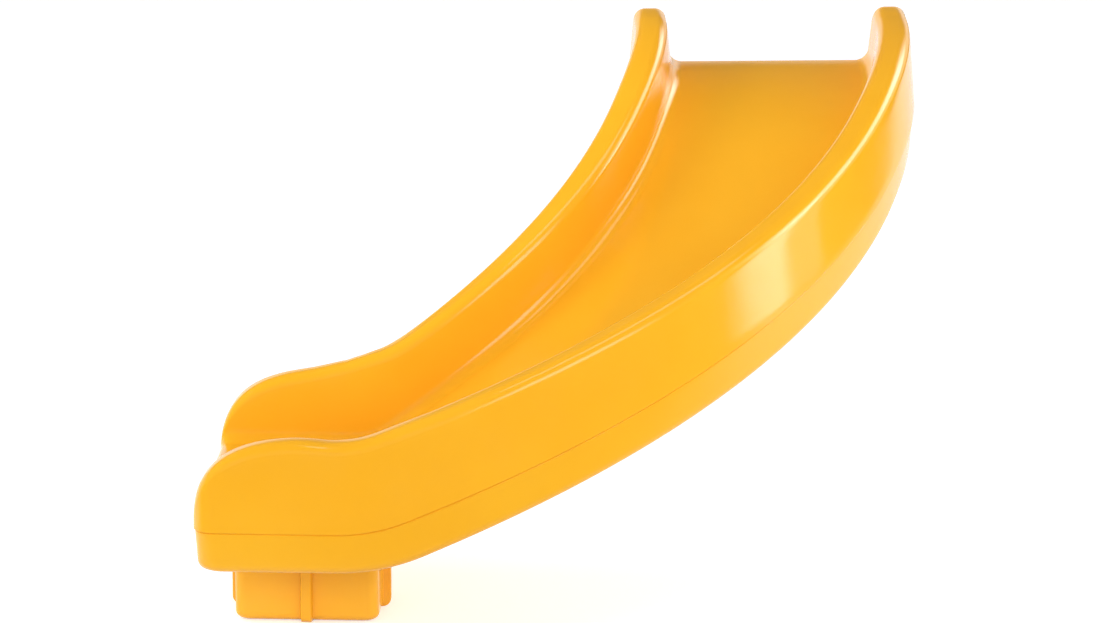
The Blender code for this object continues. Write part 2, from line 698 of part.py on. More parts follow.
def fasten_foot(foot, pan, steel, brass):
    """Add the bosses in the pan, their inserts, and the bolts and washers under the flange."""
    hole = FOOT_BOLT_RADIUS + INSERT_WALL + 2 * TOUCH_GAP
    clearance = FOOT_BOLT_RADIUS + HOLE_CLEARANCE
    recess = WASHER_RADIUS + HOLE_CLEARANCE
    washer_top = -SEAT_GAP - FLANGE_THICKNESS + SPOT_DEPTH - TOUCH_GAP
    for number, (along, across) in enumerate(foot_bolt_places(), start=1):
        def pose(made):
            """Stand a shape on the outside of the pan at this bolt."""
            stand_on_bed(made, along, across, -BODY_DEPTH)

        change_round(pan, "UNION", [(hole + WALL, WALL / 2), (hole + WALL, INSERT_LENGTH + WALL)],
                     pose, POST_SIDES)
        change_round(pan, "DIFFERENCE", [(hole, -CUT_REACH), (hole, INSERT_LENGTH + TOUCH_GAP)], pose)
        change_round(foot, "DIFFERENCE", [(recess, washer_top - CUT_REACH), (recess, washer_top + TOUCH_GAP)], pose)
        change_round(foot, "DIFFERENCE", [(clearance, washer_top), (clearance, CUT_REACH)], pose)
        pose(make_insert(f"foot_insert_{number}", FOOT_BOLT_RADIUS, brass))
        ring = [(clearance, 0.0), (WASHER_RADIUS, 0.0), (WASHER_RADIUS, WASHER_THICKNESS),
                (clearance, WASHER_THICKNESS)]
        washer = turned_object(f"foot_washer_{number}", ring, steel, hollow=True)
        washer_seat = -BODY_DEPTH + washer_top - WASHER_THICKNESS
        stand_on_bed(washer, along, across, washer_seat)
        bolt = make_bolt(f"foot_bolt_{number}", FOOT_BOLT_RADIUS, FOOT_BOLT_LENGTH, steel)
        stand_on_bed(bolt, along, across, washer_seat - TOUCH_GAP)


def main():
    """Build the slide."""
    clear_scene()
    plastic = make_material("yellow_plastic", (0.95, 0.50, 0.02), 0.28)
    pan_plastic = make_material("yellow_plastic_pan", (0.93, 0.48, 0.02), 0.30)
    foot_plastic = make_material("yellow_plastic_foot", (0.92, 0.47, 0.02), 0.34)
    steel = make_material("zinc_steel", (0.62, 0.63, 0.65), 0.32, 1.0)
    brass = make_material("brass", (0.72, 0.52, 0.20), 0.35, 1.0)
    chute = make_chute(plastic)
    pan = make_pan(pan_plastic)
    foot = make_foot(foot_plastic)
    fasten_pan(chute, pan, steel, brass)
    fit_deck_inserts(pan, brass)
    fasten_foot(foot, pan, steel, brass)


main()
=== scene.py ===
# %% [markdown]
# Curved playground slide
#
# The object is a yellow slide moulded in plastic. It drops from a deck, turns about a quarter
# turn to the rider's right, and rests on a ribbed foot under its run-out. Two mouldings make
# the body: a trough with rolled rims above a seam, and a shallow pan below it.
#
# The solid model arrives first. It has the right sizes, but its curved skins are flat facets.
# A glossy plastic shows every facet in its reflections, so the large pieces are worked out
# again here as fine surfaces, from the same sizes and formulas.

# %% Load the solid model
import math

import bmesh
import bpy
import numpy as np
from mathutils import Matrix, Vector


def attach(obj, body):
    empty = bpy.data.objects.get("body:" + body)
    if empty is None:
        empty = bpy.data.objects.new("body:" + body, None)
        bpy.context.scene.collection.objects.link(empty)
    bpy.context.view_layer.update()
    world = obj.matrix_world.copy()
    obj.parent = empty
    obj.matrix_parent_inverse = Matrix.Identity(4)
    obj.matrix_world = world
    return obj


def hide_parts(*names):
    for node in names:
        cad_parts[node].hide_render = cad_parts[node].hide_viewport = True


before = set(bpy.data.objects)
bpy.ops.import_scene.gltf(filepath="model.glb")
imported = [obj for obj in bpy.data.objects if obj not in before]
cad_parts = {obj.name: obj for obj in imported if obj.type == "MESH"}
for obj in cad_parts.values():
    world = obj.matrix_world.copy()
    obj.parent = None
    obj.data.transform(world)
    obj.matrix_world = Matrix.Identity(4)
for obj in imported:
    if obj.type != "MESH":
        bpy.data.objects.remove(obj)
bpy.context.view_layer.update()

print("nodes:", len(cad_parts))

# %% [markdown]
# The route
#
# A slide like this is drawn as a route and a section. Seen from above, the middle of the bed
# runs straight, then round an arc, then straight. Its slope grows evenly over a crest, stays
# the same, and fades evenly over a dip before the flat run-out. A Bezier curve with a bevel
# could carry a section too, but it would tilt the section at will. Summing the heading and the
# slope along the route keeps each section level from side to side. The walls lean with the
# slope, but over the dip they come upright more slowly, so that their rims bend gently.

# %% Sizes of the route
ENTRY_RUN, TURN_RADIUS, TURN_ANGLE, EXIT_RUN = 0.087, 0.870, math.radians(95.0), 0.297
SLOPE, CREST_LENGTH, BED_AT_ENTRY = math.radians(28.1), 0.425, 0.088
DIP_LENGTH, EXIT_FLAT, LEAN_LENGTH = 0.100, 0.295, 0.300
PATH_LENGTH = ENTRY_RUN + TURN_RADIUS * TURN_ANGLE + EXIT_RUN
DIP = PATH_LENGTH - EXIT_FLAT - DIP_LENGTH / 2


def ramp(value, start, end):
    """Rise evenly from 0 at start to 1 at end, and stay there."""
    return np.clip((value - start) / (end - start), 0.0, 1.0)


def running_sum(rate, step):
    """Add up a sampled rate: each step adds the mean of its two ends times its length."""
    return np.concatenate([[0.0], np.cumsum((rate[1:] + rate[:-1]) / 2) * step])


def sample_route(count=8001):
    """Sample the route: x and y follow the heading, z falls by the tangent of the slope."""
    along = np.linspace(0.0, PATH_LENGTH, count)
    step = along[1]
    heading = np.clip((along - ENTRY_RUN) / TURN_RADIUS, 0.0, TURN_ANGLE)
    crest = ramp(along, 0.0, CREST_LENGTH)
    slope = SLOPE * (crest - ramp(along, DIP - DIP_LENGTH / 2, DIP + DIP_LENGTH / 2))
    lean = SLOPE * (crest - ramp(along, DIP - LEAN_LENGTH / 2, DIP + LEAN_LENGTH / 2))
    x = running_sum(-np.sin(heading), step)
    y = running_sum(-np.cos(heading), step)
    z = BED_AT_ENTRY + running_sum(-np.tan(slope), step)
    return along, x, y, z, heading, slope, lean


ROUTE = sample_route()
print("path length", round(PATH_LENGTH, 3), "drop", round(float(ROUTE[3][0] - ROUTE[3][-1]), 3))

# %% Places on the slide


def frame_at(along):
    """Give the point on the bed and the directions ahead, across and square to the bed."""
    x, y, z, heading, slope, _ = (np.interp(along, ROUTE[0], values) for values in ROUTE[1:])
    east, north = -np.sin(heading), -np.cos(heading)
    point = np.stack([x, y, z], axis=-1)
    ahead = np.stack([east * np.cos(slope), north * np.cos(slope), -np.sin(slope)], axis=-1)
    across = np.stack([north, -east, np.zeros_like(east)], axis=-1)
    up = np.stack([east * np.sin(slope), north * np.sin(slope), np.cos(slope)], axis=-1)
    return point, ahead, across, up


def place(along, across, height):
    """A place is the bed's point plus across times the side direction plus height times up.

    Over the bed, up is turned towards ahead by the lean less the slope.
    """
    point, ahead, side, up = frame_at(along)
    tip = (np.interp(along, ROUTE[0], ROUTE[6]) - np.interp(along, ROUTE[0], ROUTE[5]))[..., None]
    leaning = up * np.cos(tip) + ahead * np.sin(tip)
    across, height = np.asarray(across)[..., None], np.asarray(height)[..., None]
    return point + side * across + np.where(height > 0.0, leaning, up) * height


print("exit end at", place(np.asarray(PATH_LENGTH), np.asarray(0.0), np.asarray(0.0)).round(3))

# %% [markdown]
# Grids of points become meshes
#
# Every skin here is a grid: rows are stations along the slide, columns go round the section.
# Four neighbouring points make a face, so the numbers of all faces can be written at once for
# the whole grid. A list of faces made with a loop would give the same mesh, only slowly.

# %% Faces from whole arrays


def join_fours(number):
    """Join each point of a numbered grid with the next in its row and the two in the row after."""
    corners = (number[:-1, :-1], number[:-1, 1:], number[1:, 1:], number[1:, :-1])
    return np.stack([c.ravel() for c in corners], axis=1)


def grid_faces(first, rows, columns, closed=False):
    """Number a grid's points along its rows, starting at first, and join them in fours."""
    number = first + np.arange(rows * columns).reshape(rows, columns)
    if closed:
        number = np.concatenate([number, number[:, :1]], axis=1)
    return join_fours(number)


def make_piece(name, points, quads, rings=(), sharp=32.0):
    """Make a mesh from points, four-sided faces and a few large end faces, and shade it."""
    sizes = np.concatenate([np.full(len(quads), 4), [len(r) for r in rings]]).astype(np.int32)
    corners = np.concatenate([quads.ravel(), *rings]).astype(np.int32)
    data = bpy.data.meshes.new(name)
    data.vertices.add(len(points))
    data.vertices.foreach_set("co", points.astype(np.float32).ravel())
    data.loops.add(len(corners))
    data.loops.foreach_set("vertex_index", corners)
    data.polygons.add(len(sizes))
    starts = np.concatenate([[0], np.cumsum(sizes)[:-1]]).astype(np.int32)
    data.polygons.foreach_set("loop_start", starts)
    data.update(calc_edges=True)
    data.validate()
    piece = bpy.data.objects.new(name, data)
    bpy.context.collection.objects.link(piece)
    point_outwards(data)
    data.shade_smooth()
    data.set_sharp_from_angle(angle=math.radians(sharp))
    return piece


def point_outwards(data):
    """Turn every face of a closed mesh outwards."""
    work = bmesh.new()
    work.from_mesh(data)
    bmesh.ops.recalc_face_normals(work, faces=work.faces)
    work.to_mesh(data)
    work.free()


print("a 3 by 4 grid has", len(grid_faces(0, 3, 4)), "faces")

# %% [markdown]
# Round corners along a section
#
# The section is a bent line: up the outer wall, over the rim, down the inner wall and across
# the bed. A Bevel modifier would round it after the fact, but here the radii change along
# the slide and shrink where the nose gets thin. So each corner is replaced by points of its
# circle, for all stations together.

# %% Sections with round corners
EDGE_SHARE = 0.48


def round_corners(corners, radii, steps, between):
    """Round the inner corners of many open lines at once, and divide what is left straight.

    The circle touches both edges at a reach of radius times tan(half turn), never more than
    a fixed share of an edge. From the first touching point, after an angle a, the line has
    moved size times sin(a) ahead and size times (1 - cos(a)) to the side.
    """
    pieces = [corners[:, :1]]
    last = corners[:, 0]
    for k in range(1, corners.shape[1] - 1):
        into = corners[:, k] - corners[:, k - 1]
        out = corners[:, k + 1] - corners[:, k]
        long_in, long_out = np.linalg.norm(into, axis=1), np.linalg.norm(out, axis=1)
        into, out = into / long_in[:, None], out / long_out[:, None]
        turn = np.arctan2(into[:, 0] * out[:, 1] - into[:, 1] * out[:, 0], (into * out).sum(axis=1))
        half = np.tan(np.abs(turn) / 2)
        reach = np.minimum(radii[:, k - 1] * half, EDGE_SHARE * np.minimum(long_in, long_out))
        size = reach / np.maximum(half, 1e-9)
        side = np.stack([-into[:, 1], into[:, 0]], axis=1) * np.sign(turn)[:, None]
        angle = np.abs(turn)[:, None] * np.linspace(0.0, 1.0, steps + 1)
        start = corners[:, k] - into * reach[:, None]
        arc = (start[:, None] + into[:, None] * (size[:, None] * np.sin(angle))[..., None]
               + side[:, None] * (size[:, None] * (1 - np.cos(angle)))[..., None])
        share = np.linspace(0.0, 1.0, between[k - 1] + 2)[1:-1, None]
        pieces += [last[:, None] + (start - last)[:, None] * share, arc]
        last = arc[:, -1]
    share = np.linspace(0.0, 1.0, between[-1] + 2)[1:, None]
    pieces.append(last[:, None] + (corners[:, -1] - last)[:, None] * share)
    return np.concatenate(pieces, axis=1)


square = np.array([[[0.0, 0.0], [0.0, 1.0], [1.0, 1.0]]])
rounded = round_corners(square, np.array([[0.2]]), 6, (1, 1))
print("one rounded corner has", rounded.shape[1], "points")

# %% [markdown]
# Stations
#
# The slide's ends curve quickly and its middle slowly. The stations are spaced by the square
# of their number from each end, which puts most of them where the nose and the ears turn
# over, and evenly in between.

# %% Choose the stations
EAR_RADIUS, NOSE_LENGTH = 0.030, 0.275
STATION_PITCH, END_STATIONS = 0.0065, 48


def spread_stations(pitch, end_count):
    """Give distances along the bed: squared spacing at both ends, even steps between."""
    ramp_in = EAR_RADIUS * (np.arange(end_count // 2) / (end_count // 2)) ** 2
    tail = PATH_LENGTH - NOSE_LENGTH * (np.arange(end_count) / end_count)[::-1] ** 2
    count = math.ceil((tail[0] - EAR_RADIUS) / pitch)
    middle = EAR_RADIUS + (tail[0] - EAR_RADIUS) * np.arange(count) / count
    return np.concatenate([ramp_in, middle, tail])


STATIONS = spread_stations(STATION_PITCH, END_STATIONS)
print(len(STATIONS), "stations, closest", f"{np.diff(STATIONS).min() * 1000:.3f} mm")

# %% [markdown]
# The trough's section
#
# Heights are measured square to the bed. The rim follows a gentle curve through three
# heights and then falls round the nose like a squashed circle. The inside rim has a shorter
# way round the dip, so it gets a little extra height there. The deck ends of the walls are
# rounded like ears, the bed rolls over a lip at the exit, and the outer corners of the exit
# are rounded seen from above.

# %% Sizes and shape of the trough
INNER_WIDTH, BED_WIDTH, RIM_WIDTH, RIM_RADIUS, BED_FILLET = 0.470, 0.443, 0.067, 0.026, 0.030
RIM_HEIGHTS = (0.128, 0.129, 0.158)
SADDLE_HEIGHT, SADDLE_REACH = 0.030, 0.106
OUTER_DRAFT, SEAM_DROP, WALL, ENTRY_WALL = 0.014, 0.043, 0.006, 0.010
NOSE_POWER, END_FACE_TOP, LIP_RADIUS = 2.5, -0.030, 0.028
EXIT_CORNER, ENTRY_CORNER, NOSE_INNER_ROUND = 0.045, 0.008, 0.012
SEAM_HALF = INNER_WIDTH / 2 + RIM_WIDTH + OUTER_DRAFT
END_EDGE, SEAM_EDGE = 0.0035, 0.0015


def quarter_drop(distance, radius):
    """Give how far a quarter circle has fallen back at a distance from its end."""
    inside = np.clip(1.0 - distance / radius, 0.0, 1.0)
    return radius * (1.0 - np.sqrt(1.0 - inside ** 2))


def rim_height(along):
    """Curve through the three heights, times a nose of (1 - v^p)^(1/p), less the ear's round."""
    share = along / PATH_LENGTH
    low, middle, high = RIM_HEIGHTS
    height = (low * (1 - share) * (1 - 2 * share) + middle * 4 * share * (1 - share)
              + high * share * (2 * share - 1))
    reach = ramp(along, PATH_LENGTH - NOSE_LENGTH, PATH_LENGTH)
    nose = np.maximum(1 - reach ** NOSE_POWER, 0.0) ** (1 / NOSE_POWER)
    return END_FACE_TOP + (height - END_FACE_TOP) * nose - quarter_drop(along, EAR_RADIUS)


def saddle(along):
    """Raise the inside rim over the dip by a bell: height times exp(-(distance / reach)^2)."""
    return SADDLE_HEIGHT * np.exp(-((along - DIP) / SADDLE_REACH) ** 2)


def corner_inset(along):
    """Give how far the outer walls draw in at the two ends, seen from above."""
    return quarter_drop(PATH_LENGTH - along, EXIT_CORNER) + quarter_drop(along, ENTRY_CORNER)


heights = rim_height(STATIONS)
print("rim height from", heights.min().round(3), "to", heights.max().round(3))

# %% Carry the section along the route
SEAM_LIP, OUTER_STEPS, INNER_STEPS = 0.004, 10, 3


def trough_half(along, extra, inset, steps, fine):
    """Draw half a section per station: seam, outer wall, rim, inner wall, fillet and bed.

    A fine section also turns in under the wall at the seam, and has more points between its
    corners.
    """
    rim = rim_height(along) + extra
    bed = -quarter_drop(PATH_LENGTH - along, LIP_RADIUS)
    full = RIM_HEIGHTS[1]
    nose_round = quarter_drop(PATH_LENGTH - along, NOSE_INNER_ROUND)
    outer_low = SEAM_HALF - corner_inset(along)
    outer_top = outer_low - OUTER_DRAFT * (rim + SEAM_DROP) / (full + SEAM_DROP)
    inner_low = BED_WIDTH / 2 + nose_round
    inner_top = inner_low + (INNER_WIDTH - BED_WIDTH) / 2 * (rim - bed) / full
    zero, low = np.zeros_like(along), np.full_like(along, -SEAM_DROP)
    line = [(outer_low - inset, low), (outer_top - inset, rim - inset),
            (inner_top + inset, rim - inset), (inner_low + inset, bed - inset), (zero, bed - inset)]
    radii = [RIM_RADIUS - inset, RIM_RADIUS - inset, BED_FILLET + inset]
    between = (3, 1, 3, 3)
    if fine:
        line.insert(0, (outer_low - inset - SEAM_LIP, low))
        radii.insert(0, SEAM_EDGE + zero)
        between = (0, 6, 2, 6, 9)
    corners = np.stack([np.stack(p, axis=1) for p in line], axis=1)
    return round_corners(corners, np.stack(radii, axis=1), steps, between)


def trough_skin(inset, entry_inset, exit_inset, steps, fine):
    """Carry the section along the route and mirror it. An inset gives the inner skin."""
    inside = trough_half(STATIONS, saddle(STATIONS), inset, steps, fine)
    outside = trough_half(STATIONS, 0.0, inset, steps, fine)
    section = np.concatenate([inside, outside[:, -2::-1] * [-1.0, 1.0]], axis=1)
    shifted = entry_inset + STATIONS * (PATH_LENGTH - entry_inset - exit_inset) / PATH_LENGTH
    along = np.broadcast_to(shifted[:, None], section.shape[:2])
    return place(along, section[..., 0], section[..., 1])


end_round = quarter_drop(STATIONS, END_EDGE) + quarter_drop(PATH_LENGTH - STATIONS, END_EDGE)
outer_skin = trough_skin(end_round, 0.0, 0.0, OUTER_STEPS, True)
inner_skin = trough_skin(np.full_like(STATIONS, WALL), ENTRY_WALL, WALL, INNER_STEPS, False)
print("outer skin", outer_skin.shape[:2], "inner skin", inner_skin.shape[:2])

# %% Close the trough
rows, outer_columns, inner_columns = len(STATIONS), outer_skin.shape[1], inner_skin.shape[1]
shift = rows * outer_columns
outer_number = np.arange(shift).reshape(rows, outer_columns)
inner_number = shift + np.arange(rows * inner_columns).reshape(rows, inner_columns)


def strip(first, second):
    """Join two lines of point numbers with four-sided faces."""
    return np.stack([first[:-1], first[1:], second[1:], second[:-1]], axis=1)


quads = np.concatenate([
    grid_faces(0, rows, outer_columns),
    grid_faces(shift, rows, inner_columns),
    strip(outer_number[:, 0], inner_number[:, 0]),
    strip(outer_number[:, -1], inner_number[:, -1]),
    np.array([[outer_number[end, 0], outer_number[end, -1],
               inner_number[end, -1], inner_number[end, 0]] for end in (0, -1)]),
])
ends = [outer_number[0], outer_number[-1], inner_number[0], inner_number[-1]]
points = np.concatenate([outer_skin.reshape(-1, 3), inner_skin.reshape(-1, 3)])
trough = make_piece("trough", points, quads, ends)
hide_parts("chute")
print("trough:", len(trough.data.polygons), "faces")

# %% [markdown]
# The pan under the seam
#
# The lower moulding is a shallow tray. Its skirt is set in a little from the wall above, leans
# in, and turns under with a soft corner. Its upper edge is cut back at an angle, and that groove
# draws the dark line of the seam. Rings that go all round the body make the tray: each has one
# inset for the sides, one for each end, and a height.

# %% Sizes and rings of the pan
BODY_DEPTH, SEAM_STEP, SEAM_GAP = 0.133, 0.003, 0.0006
SKIRT_DRAFT, SKIRT_RADIUS, EXIT_SHARE = 0.010, 0.022, 0.7
DECK_EDGE_RADIUS, TONGUE_HEIGHT, TONGUE_THICKNESS, FIT_GAP = 0.005, 0.008, 0.004, 0.0005
GROOVE_DEPTH, GROOVE_HEIGHT, GROOVE_ROUND = 0.0028, 0.0032, 0.0012
INNER_FILLET_REACH, INNER_FILLET_RISE, DECK_FILLET = 0.022, 0.018, 0.004
DECK_BLEND, UNDER_REACH, RING_STEPS, STRIPS = 0.012, 0.1, 9, 14


def pan_ring(insets, levels):
    """Draw rings from (side, exit, entry) insets and (height, entry height) levels."""
    count = len(insets)
    station = np.broadcast_to(STATIONS, (count, rows))
    side, exit_inset, entry_inset = (insets[:, k, None] for k in range(3))
    along = entry_inset + station * (PATH_LENGTH - entry_inset - exit_inset) / PATH_LENGTH
    half = SEAM_HALF - corner_inset(station) - side
    height = np.repeat(levels[:, :1], rows, axis=1)
    height = height + (levels[:, 1:] - height) * (quarter_drop(station, DECK_BLEND) / DECK_BLEND)
    height[:, -1] = np.minimum(height[:, -1], END_FACE_TOP - WALL - TONGUE_HEIGHT / 4)
    left, right = place(along, half, height), place(along, -half, height)
    share = (np.arange(1, STRIPS) / STRIPS)[None, :, None]
    exit_row = left[:, -1:] + (right[:, -1:] - left[:, -1:]) * share
    entry_row = right[:, :1] + (left[:, :1] - right[:, :1]) * share
    return np.concatenate([left, exit_row, right[:, ::-1], entry_row], axis=1)


seam, tongue_top = -SEAM_DROP - SEAM_GAP, -SEAM_DROP + TONGUE_HEIGHT
tongue, entry_tongue = WALL + FIT_GAP, ENTRY_WALL + FIT_GAP
tongue_lean = OUTER_DRAFT * TONGUE_HEIGHT / (RIM_HEIGHTS[1] + SEAM_DROP)
print(f"tongue from {seam * 1000:.1f} to {tongue_top * 1000:.1f} mm, seen from the bed")

# %% Draw the pan's outside and inside


def edge_line(edge, face, foot, radius):
    """Round a line of (inset, height) points: tongue, groove, skirt and underside."""
    line = [(edge, seam), (face + GROOVE_DEPTH, seam), (face, seam - GROOVE_HEIGHT),
            (foot, -BODY_DEPTH), (foot + UNDER_REACH, -BODY_DEPTH)]
    radii = [GROOVE_ROUND / 4, GROOVE_ROUND, radius]
    return round_corners(np.array([line]), np.array([radii]), RING_STEPS, (0, 0, 3, 0))[0, :-1]


skirt = edge_line(tongue, SEAM_STEP, SKIRT_DRAFT, SKIRT_RADIUS)
deck_end = edge_line(entry_tongue, 0.0, 0.0, DECK_EDGE_RADIUS)
exit_end = np.where(skirt[:, 1] < seam - GROOVE_HEIGHT,
                    SEAM_STEP + (skirt[:, 0] - SEAM_STEP) * EXIT_SHARE, skirt[:, 0])
outer_rings = pan_ring(
    np.concatenate([[[tongue + tongue_lean, tongue, entry_tongue]],
                    np.stack([skirt[:, 0], exit_end, deck_end[:, 0]], axis=1)]),
    np.concatenate([[[tongue_top] * 2], np.stack([skirt[:, 1], deck_end[:, 1]], axis=1)]))

plate_top = -BODY_DEPTH + WALL
wall_foot, fillet_foot = SKIRT_DRAFT + WALL, SKIRT_DRAFT + INNER_FILLET_REACH
inside, entry_inside = tongue + TONGUE_THICKNESS, entry_tongue + TONGUE_THICKNESS
inner_rings = pan_ring(
    np.array([[inside + tongue_lean, inside, entry_inside], [inside, inside, entry_inside],
              [wall_foot, wall_foot, entry_inside],
              [fillet_foot, fillet_foot, entry_inside + DECK_FILLET]]),
    np.array([[tongue_top] * 2, [seam] * 2,
              [plate_top + INNER_FILLET_RISE, plate_top + DECK_FILLET], [plate_top] * 2]))
print("pan rings", outer_rings.shape[:2], inner_rings.shape[:2])

# %% Fill the underside and close the pan


def fill_plate(ring, first, next_number):
    """Fill a ring with a grid from its left side to its right. Only inner points are new."""
    left = np.arange(rows)
    right = rows + STRIPS - 1 + np.arange(rows)[::-1]
    share = (np.arange(1, STRIPS) / STRIPS)[None, :, None]
    inner = ring[left, None] + (ring[right, None] - ring[left, None]) * share
    number = np.empty((rows, STRIPS + 1), dtype=int)
    number[:, 0], number[:, -1] = first + left, first + right
    new = next_number + np.arange((rows - 2) * (STRIPS - 1))
    number[1:-1, 1:-1] = new.reshape(rows - 2, STRIPS - 1)
    number[-1, 1:-1] = first + rows + np.arange(STRIPS - 1)
    number[0, 1:-1] = first + 2 * rows + STRIPS - 1 + np.arange(STRIPS - 1)[::-1]
    return inner[1:-1].reshape(-1, 3), join_fours(number)


around = outer_rings.shape[1]
outer_count, inner_count = len(outer_rings) * around, len(inner_rings) * around
plate, plate_faces = fill_plate(outer_rings[-1], outer_count - around, outer_count + inner_count)
inner_plate, inner_plate_faces = fill_plate(
    inner_rings[-1], outer_count + inner_count - around, outer_count + inner_count + len(plate))
first_ring = np.arange(around + 1) % around
quads = np.concatenate([
    grid_faces(0, len(outer_rings), around, closed=True),
    grid_faces(outer_count, len(inner_rings), around, closed=True),
    plate_faces, inner_plate_faces,
    strip(first_ring, outer_count + first_ring),
])
pan = make_piece("pan", np.concatenate([outer_rings.reshape(-1, 3), inner_rings.reshape(-1, 3),
                                        plate, inner_plate]), quads)
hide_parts("underside_pan")
print("pan:", len(pan.data.polygons), "faces")

# %% [markdown]
# The ribbed foot
#
# The foot is a hollow box with ribs, which make its thin walls stiff. Seen from above, its
# outline is a rounded rectangle that is pushed outwards at each rib. Rings of that outline
# are stacked: they round the base, climb the wall, spread into a flange and follow the
# underside of the slide. A box with added blocks would miss the soft corners of a moulding.

# %% Outline of the foot
FOOT_HEIGHT, FOOT_LENGTH, FOOT_END_GAP, FOOT_WIDTH = 0.159, 0.302, 0.066, 0.250
FOOT_WALL, FOOT_CORNER, FOOT_BASE_RADIUS = 0.006, 0.022, 0.018
RIB_REACH, RIB_SIDE, RIB_DEPTH = 0.0135, 0.0036, 0.017
FLANGE_THICKNESS, FLANGE_END_REACH, FLANGE_SIDE_REACH, SEAT_GAP = 0.014, 0.032, 0.020, 0.0009
RIB_POINTS, SIDE_POINTS, CORNER_POINTS, SEARCH_STEPS = 41, 18, 13, 30
GROUND = float(ROUTE[3][-1]) - BODY_DEPTH - FOOT_HEIGHT


def foot_outline(end_reach, side_reach, rib_depth):
    """Walk round a rectangle: four times a straight side with a rib in its middle, then a corner.

    A rib is its depth times s * s * (3 - 2 * s), where s rises from 0 at its edge to 1 further in.
    """
    rib = np.linspace(-RIB_REACH, RIB_REACH, RIB_POINTS)
    rise = ramp(RIB_REACH - np.abs(rib), 0.0, RIB_SIDE)
    bump = rib_depth * rise * rise * (3 - 2 * rise)
    angle = np.linspace(0.0, math.pi / 2, CORNER_POINTS)[1:-1]
    cores = FOOT_LENGTH / 2 + end_reach - FOOT_CORNER, FOOT_WIDTH / 2 + side_reach - FOOT_CORNER
    sides = []
    for number in range(4):
        half, deep = cores[number % 2], cores[1 - number % 2]
        run = np.linspace(RIB_REACH, half, SIDE_POINTS)[1:]
        x = np.concatenate([-run[::-1], rib, run, half + FOOT_CORNER * np.sin(angle)])
        y = deep + FOOT_CORNER * np.concatenate([np.ones(2 * len(run) + len(rib)), np.cos(angle)])
        y[len(run):len(run) + len(rib)] += bump
        sides.append(np.stack([(x, y), (y, -x), (-x, -y), (-y, x)][number], axis=1))
    return np.concatenate(sides)


def exit_to_world(plan):
    """Turn (along, across) about the foot's middle into x and y."""
    point, ahead, side, _ = frame_at(np.asarray(PATH_LENGTH))
    along = FOOT_END_GAP + FOOT_LENGTH / 2 + plan[..., :1]
    return point[:2] - along * ahead[:2] + plan[..., 1:] * side[:2]


def find_under(flat, height):
    """Find the distances along and across of the slide's points over plan points.

    Each step moves by the error left in plan, split into its parts ahead and across.
    """
    along = np.full(len(flat), PATH_LENGTH)
    point, _, side, _ = frame_at(along)
    across = ((flat - point[:, :2]) * side[:, :2]).sum(axis=1)
    for _ in range(SEARCH_STEPS):
        error = flat - place(along, across, np.full_like(along, height))[:, :2]
        _, ahead, side, _ = frame_at(along)
        along = along + (error * ahead[:, :2]).sum(axis=1) / np.hypot(ahead[:, 0], ahead[:, 1])
        across = across + (error * side[:, :2]).sum(axis=1)
    return along, across


around_foot = len(foot_outline(0.0, 0.0, 0.0))
print(around_foot, "places round the foot, ground at", round(GROUND, 4))

# %% Rings of the foot
FLANGE_FILLET, FLANGE_EDGE, FLANGE_CHAMFER = 0.004, 0.004, 0.001


def level_ring(end_reach, side_reach, rib_depth, lift):
    """Lift an outline to one level over the ground."""
    flat = exit_to_world(foot_outline(end_reach, side_reach, rib_depth))
    return np.concatenate([flat, np.full((len(flat), 1), GROUND + lift)], axis=1)


def fitted_ring(end_reach, side_reach, rib_depth, drop):
    """Lift an outline up to the underside of the slide, less a distance square to it."""
    flat = exit_to_world(foot_outline(end_reach, side_reach, rib_depth))
    height = -BODY_DEPTH - SEAT_GAP - drop
    along, across = find_under(flat, height)
    return place(along, across, np.full_like(along, height))


def flange_ring(drawn_in, drop):
    """Fit an outline of the flange, without ribs, drawn in from its edge."""
    return fitted_ring(FLANGE_END_REACH - drawn_in, FLANGE_SIDE_REACH - drawn_in, 0.0, drop)


def quarter_turn(count):
    """Give angles from 0 to a quarter turn."""
    return np.linspace(0.0, math.pi / 2, count)


wall_top = fitted_ring(0.0, 0.0, RIB_DEPTH, FLANGE_THICKNESS + FLANGE_FILLET)
print("wall up to", round(float(wall_top[:, 2].max()) - GROUND, 3), "m over the ground")

# %% Stack the foot's rings
rings = []
for angle in quarter_turn(9):
    drawn_in = FOOT_BASE_RADIUS * (1 - math.sin(angle))
    lift = FOOT_BASE_RADIUS * (1 - math.cos(angle))
    rings.append(level_ring(-drawn_in, -drawn_in, RIB_DEPTH, lift))
wall_low = rings[-1]
for share in (0.3, 0.6, 1.0):
    rings.append(wall_low + (wall_top - wall_low) * share)
for angle in quarter_turn(4)[1:]:
    grow = FLANGE_FILLET * (1 - math.cos(angle))
    drop = FLANGE_THICKNESS + FLANGE_FILLET * (1 - math.sin(angle))
    rings.append(fitted_ring(grow, grow, RIB_DEPTH, drop))
for angle in quarter_turn(6):
    rings.append(flange_ring(FLANGE_EDGE * (1 - math.sin(angle)),
                             FLANGE_THICKNESS - FLANGE_EDGE * (1 - math.cos(angle))))
rings.append(flange_ring(0.0, FLANGE_CHAMFER))
rings.append(flange_ring(FLANGE_CHAMFER, 0.0))
for share in (0.66, 0.33, 0.0):
    rings.append(fitted_ring(FLANGE_END_REACH * share, FLANGE_SIDE_REACH * share, 0.0, 0.0))
rings.append(fitted_ring(-FOOT_WALL, -FOOT_WALL, 0.0, 0.0))
rings.append(level_ring(-FOOT_WALL, -FOOT_WALL, 0.0, FOOT_WALL + FOOT_BASE_RADIUS))
lower = -FOOT_WALL - FOOT_BASE_RADIUS / 2
rings.append(level_ring(lower, lower, 0.0, FOOT_WALL))
rings = np.array(rings)
first_ring = np.arange(around_foot)
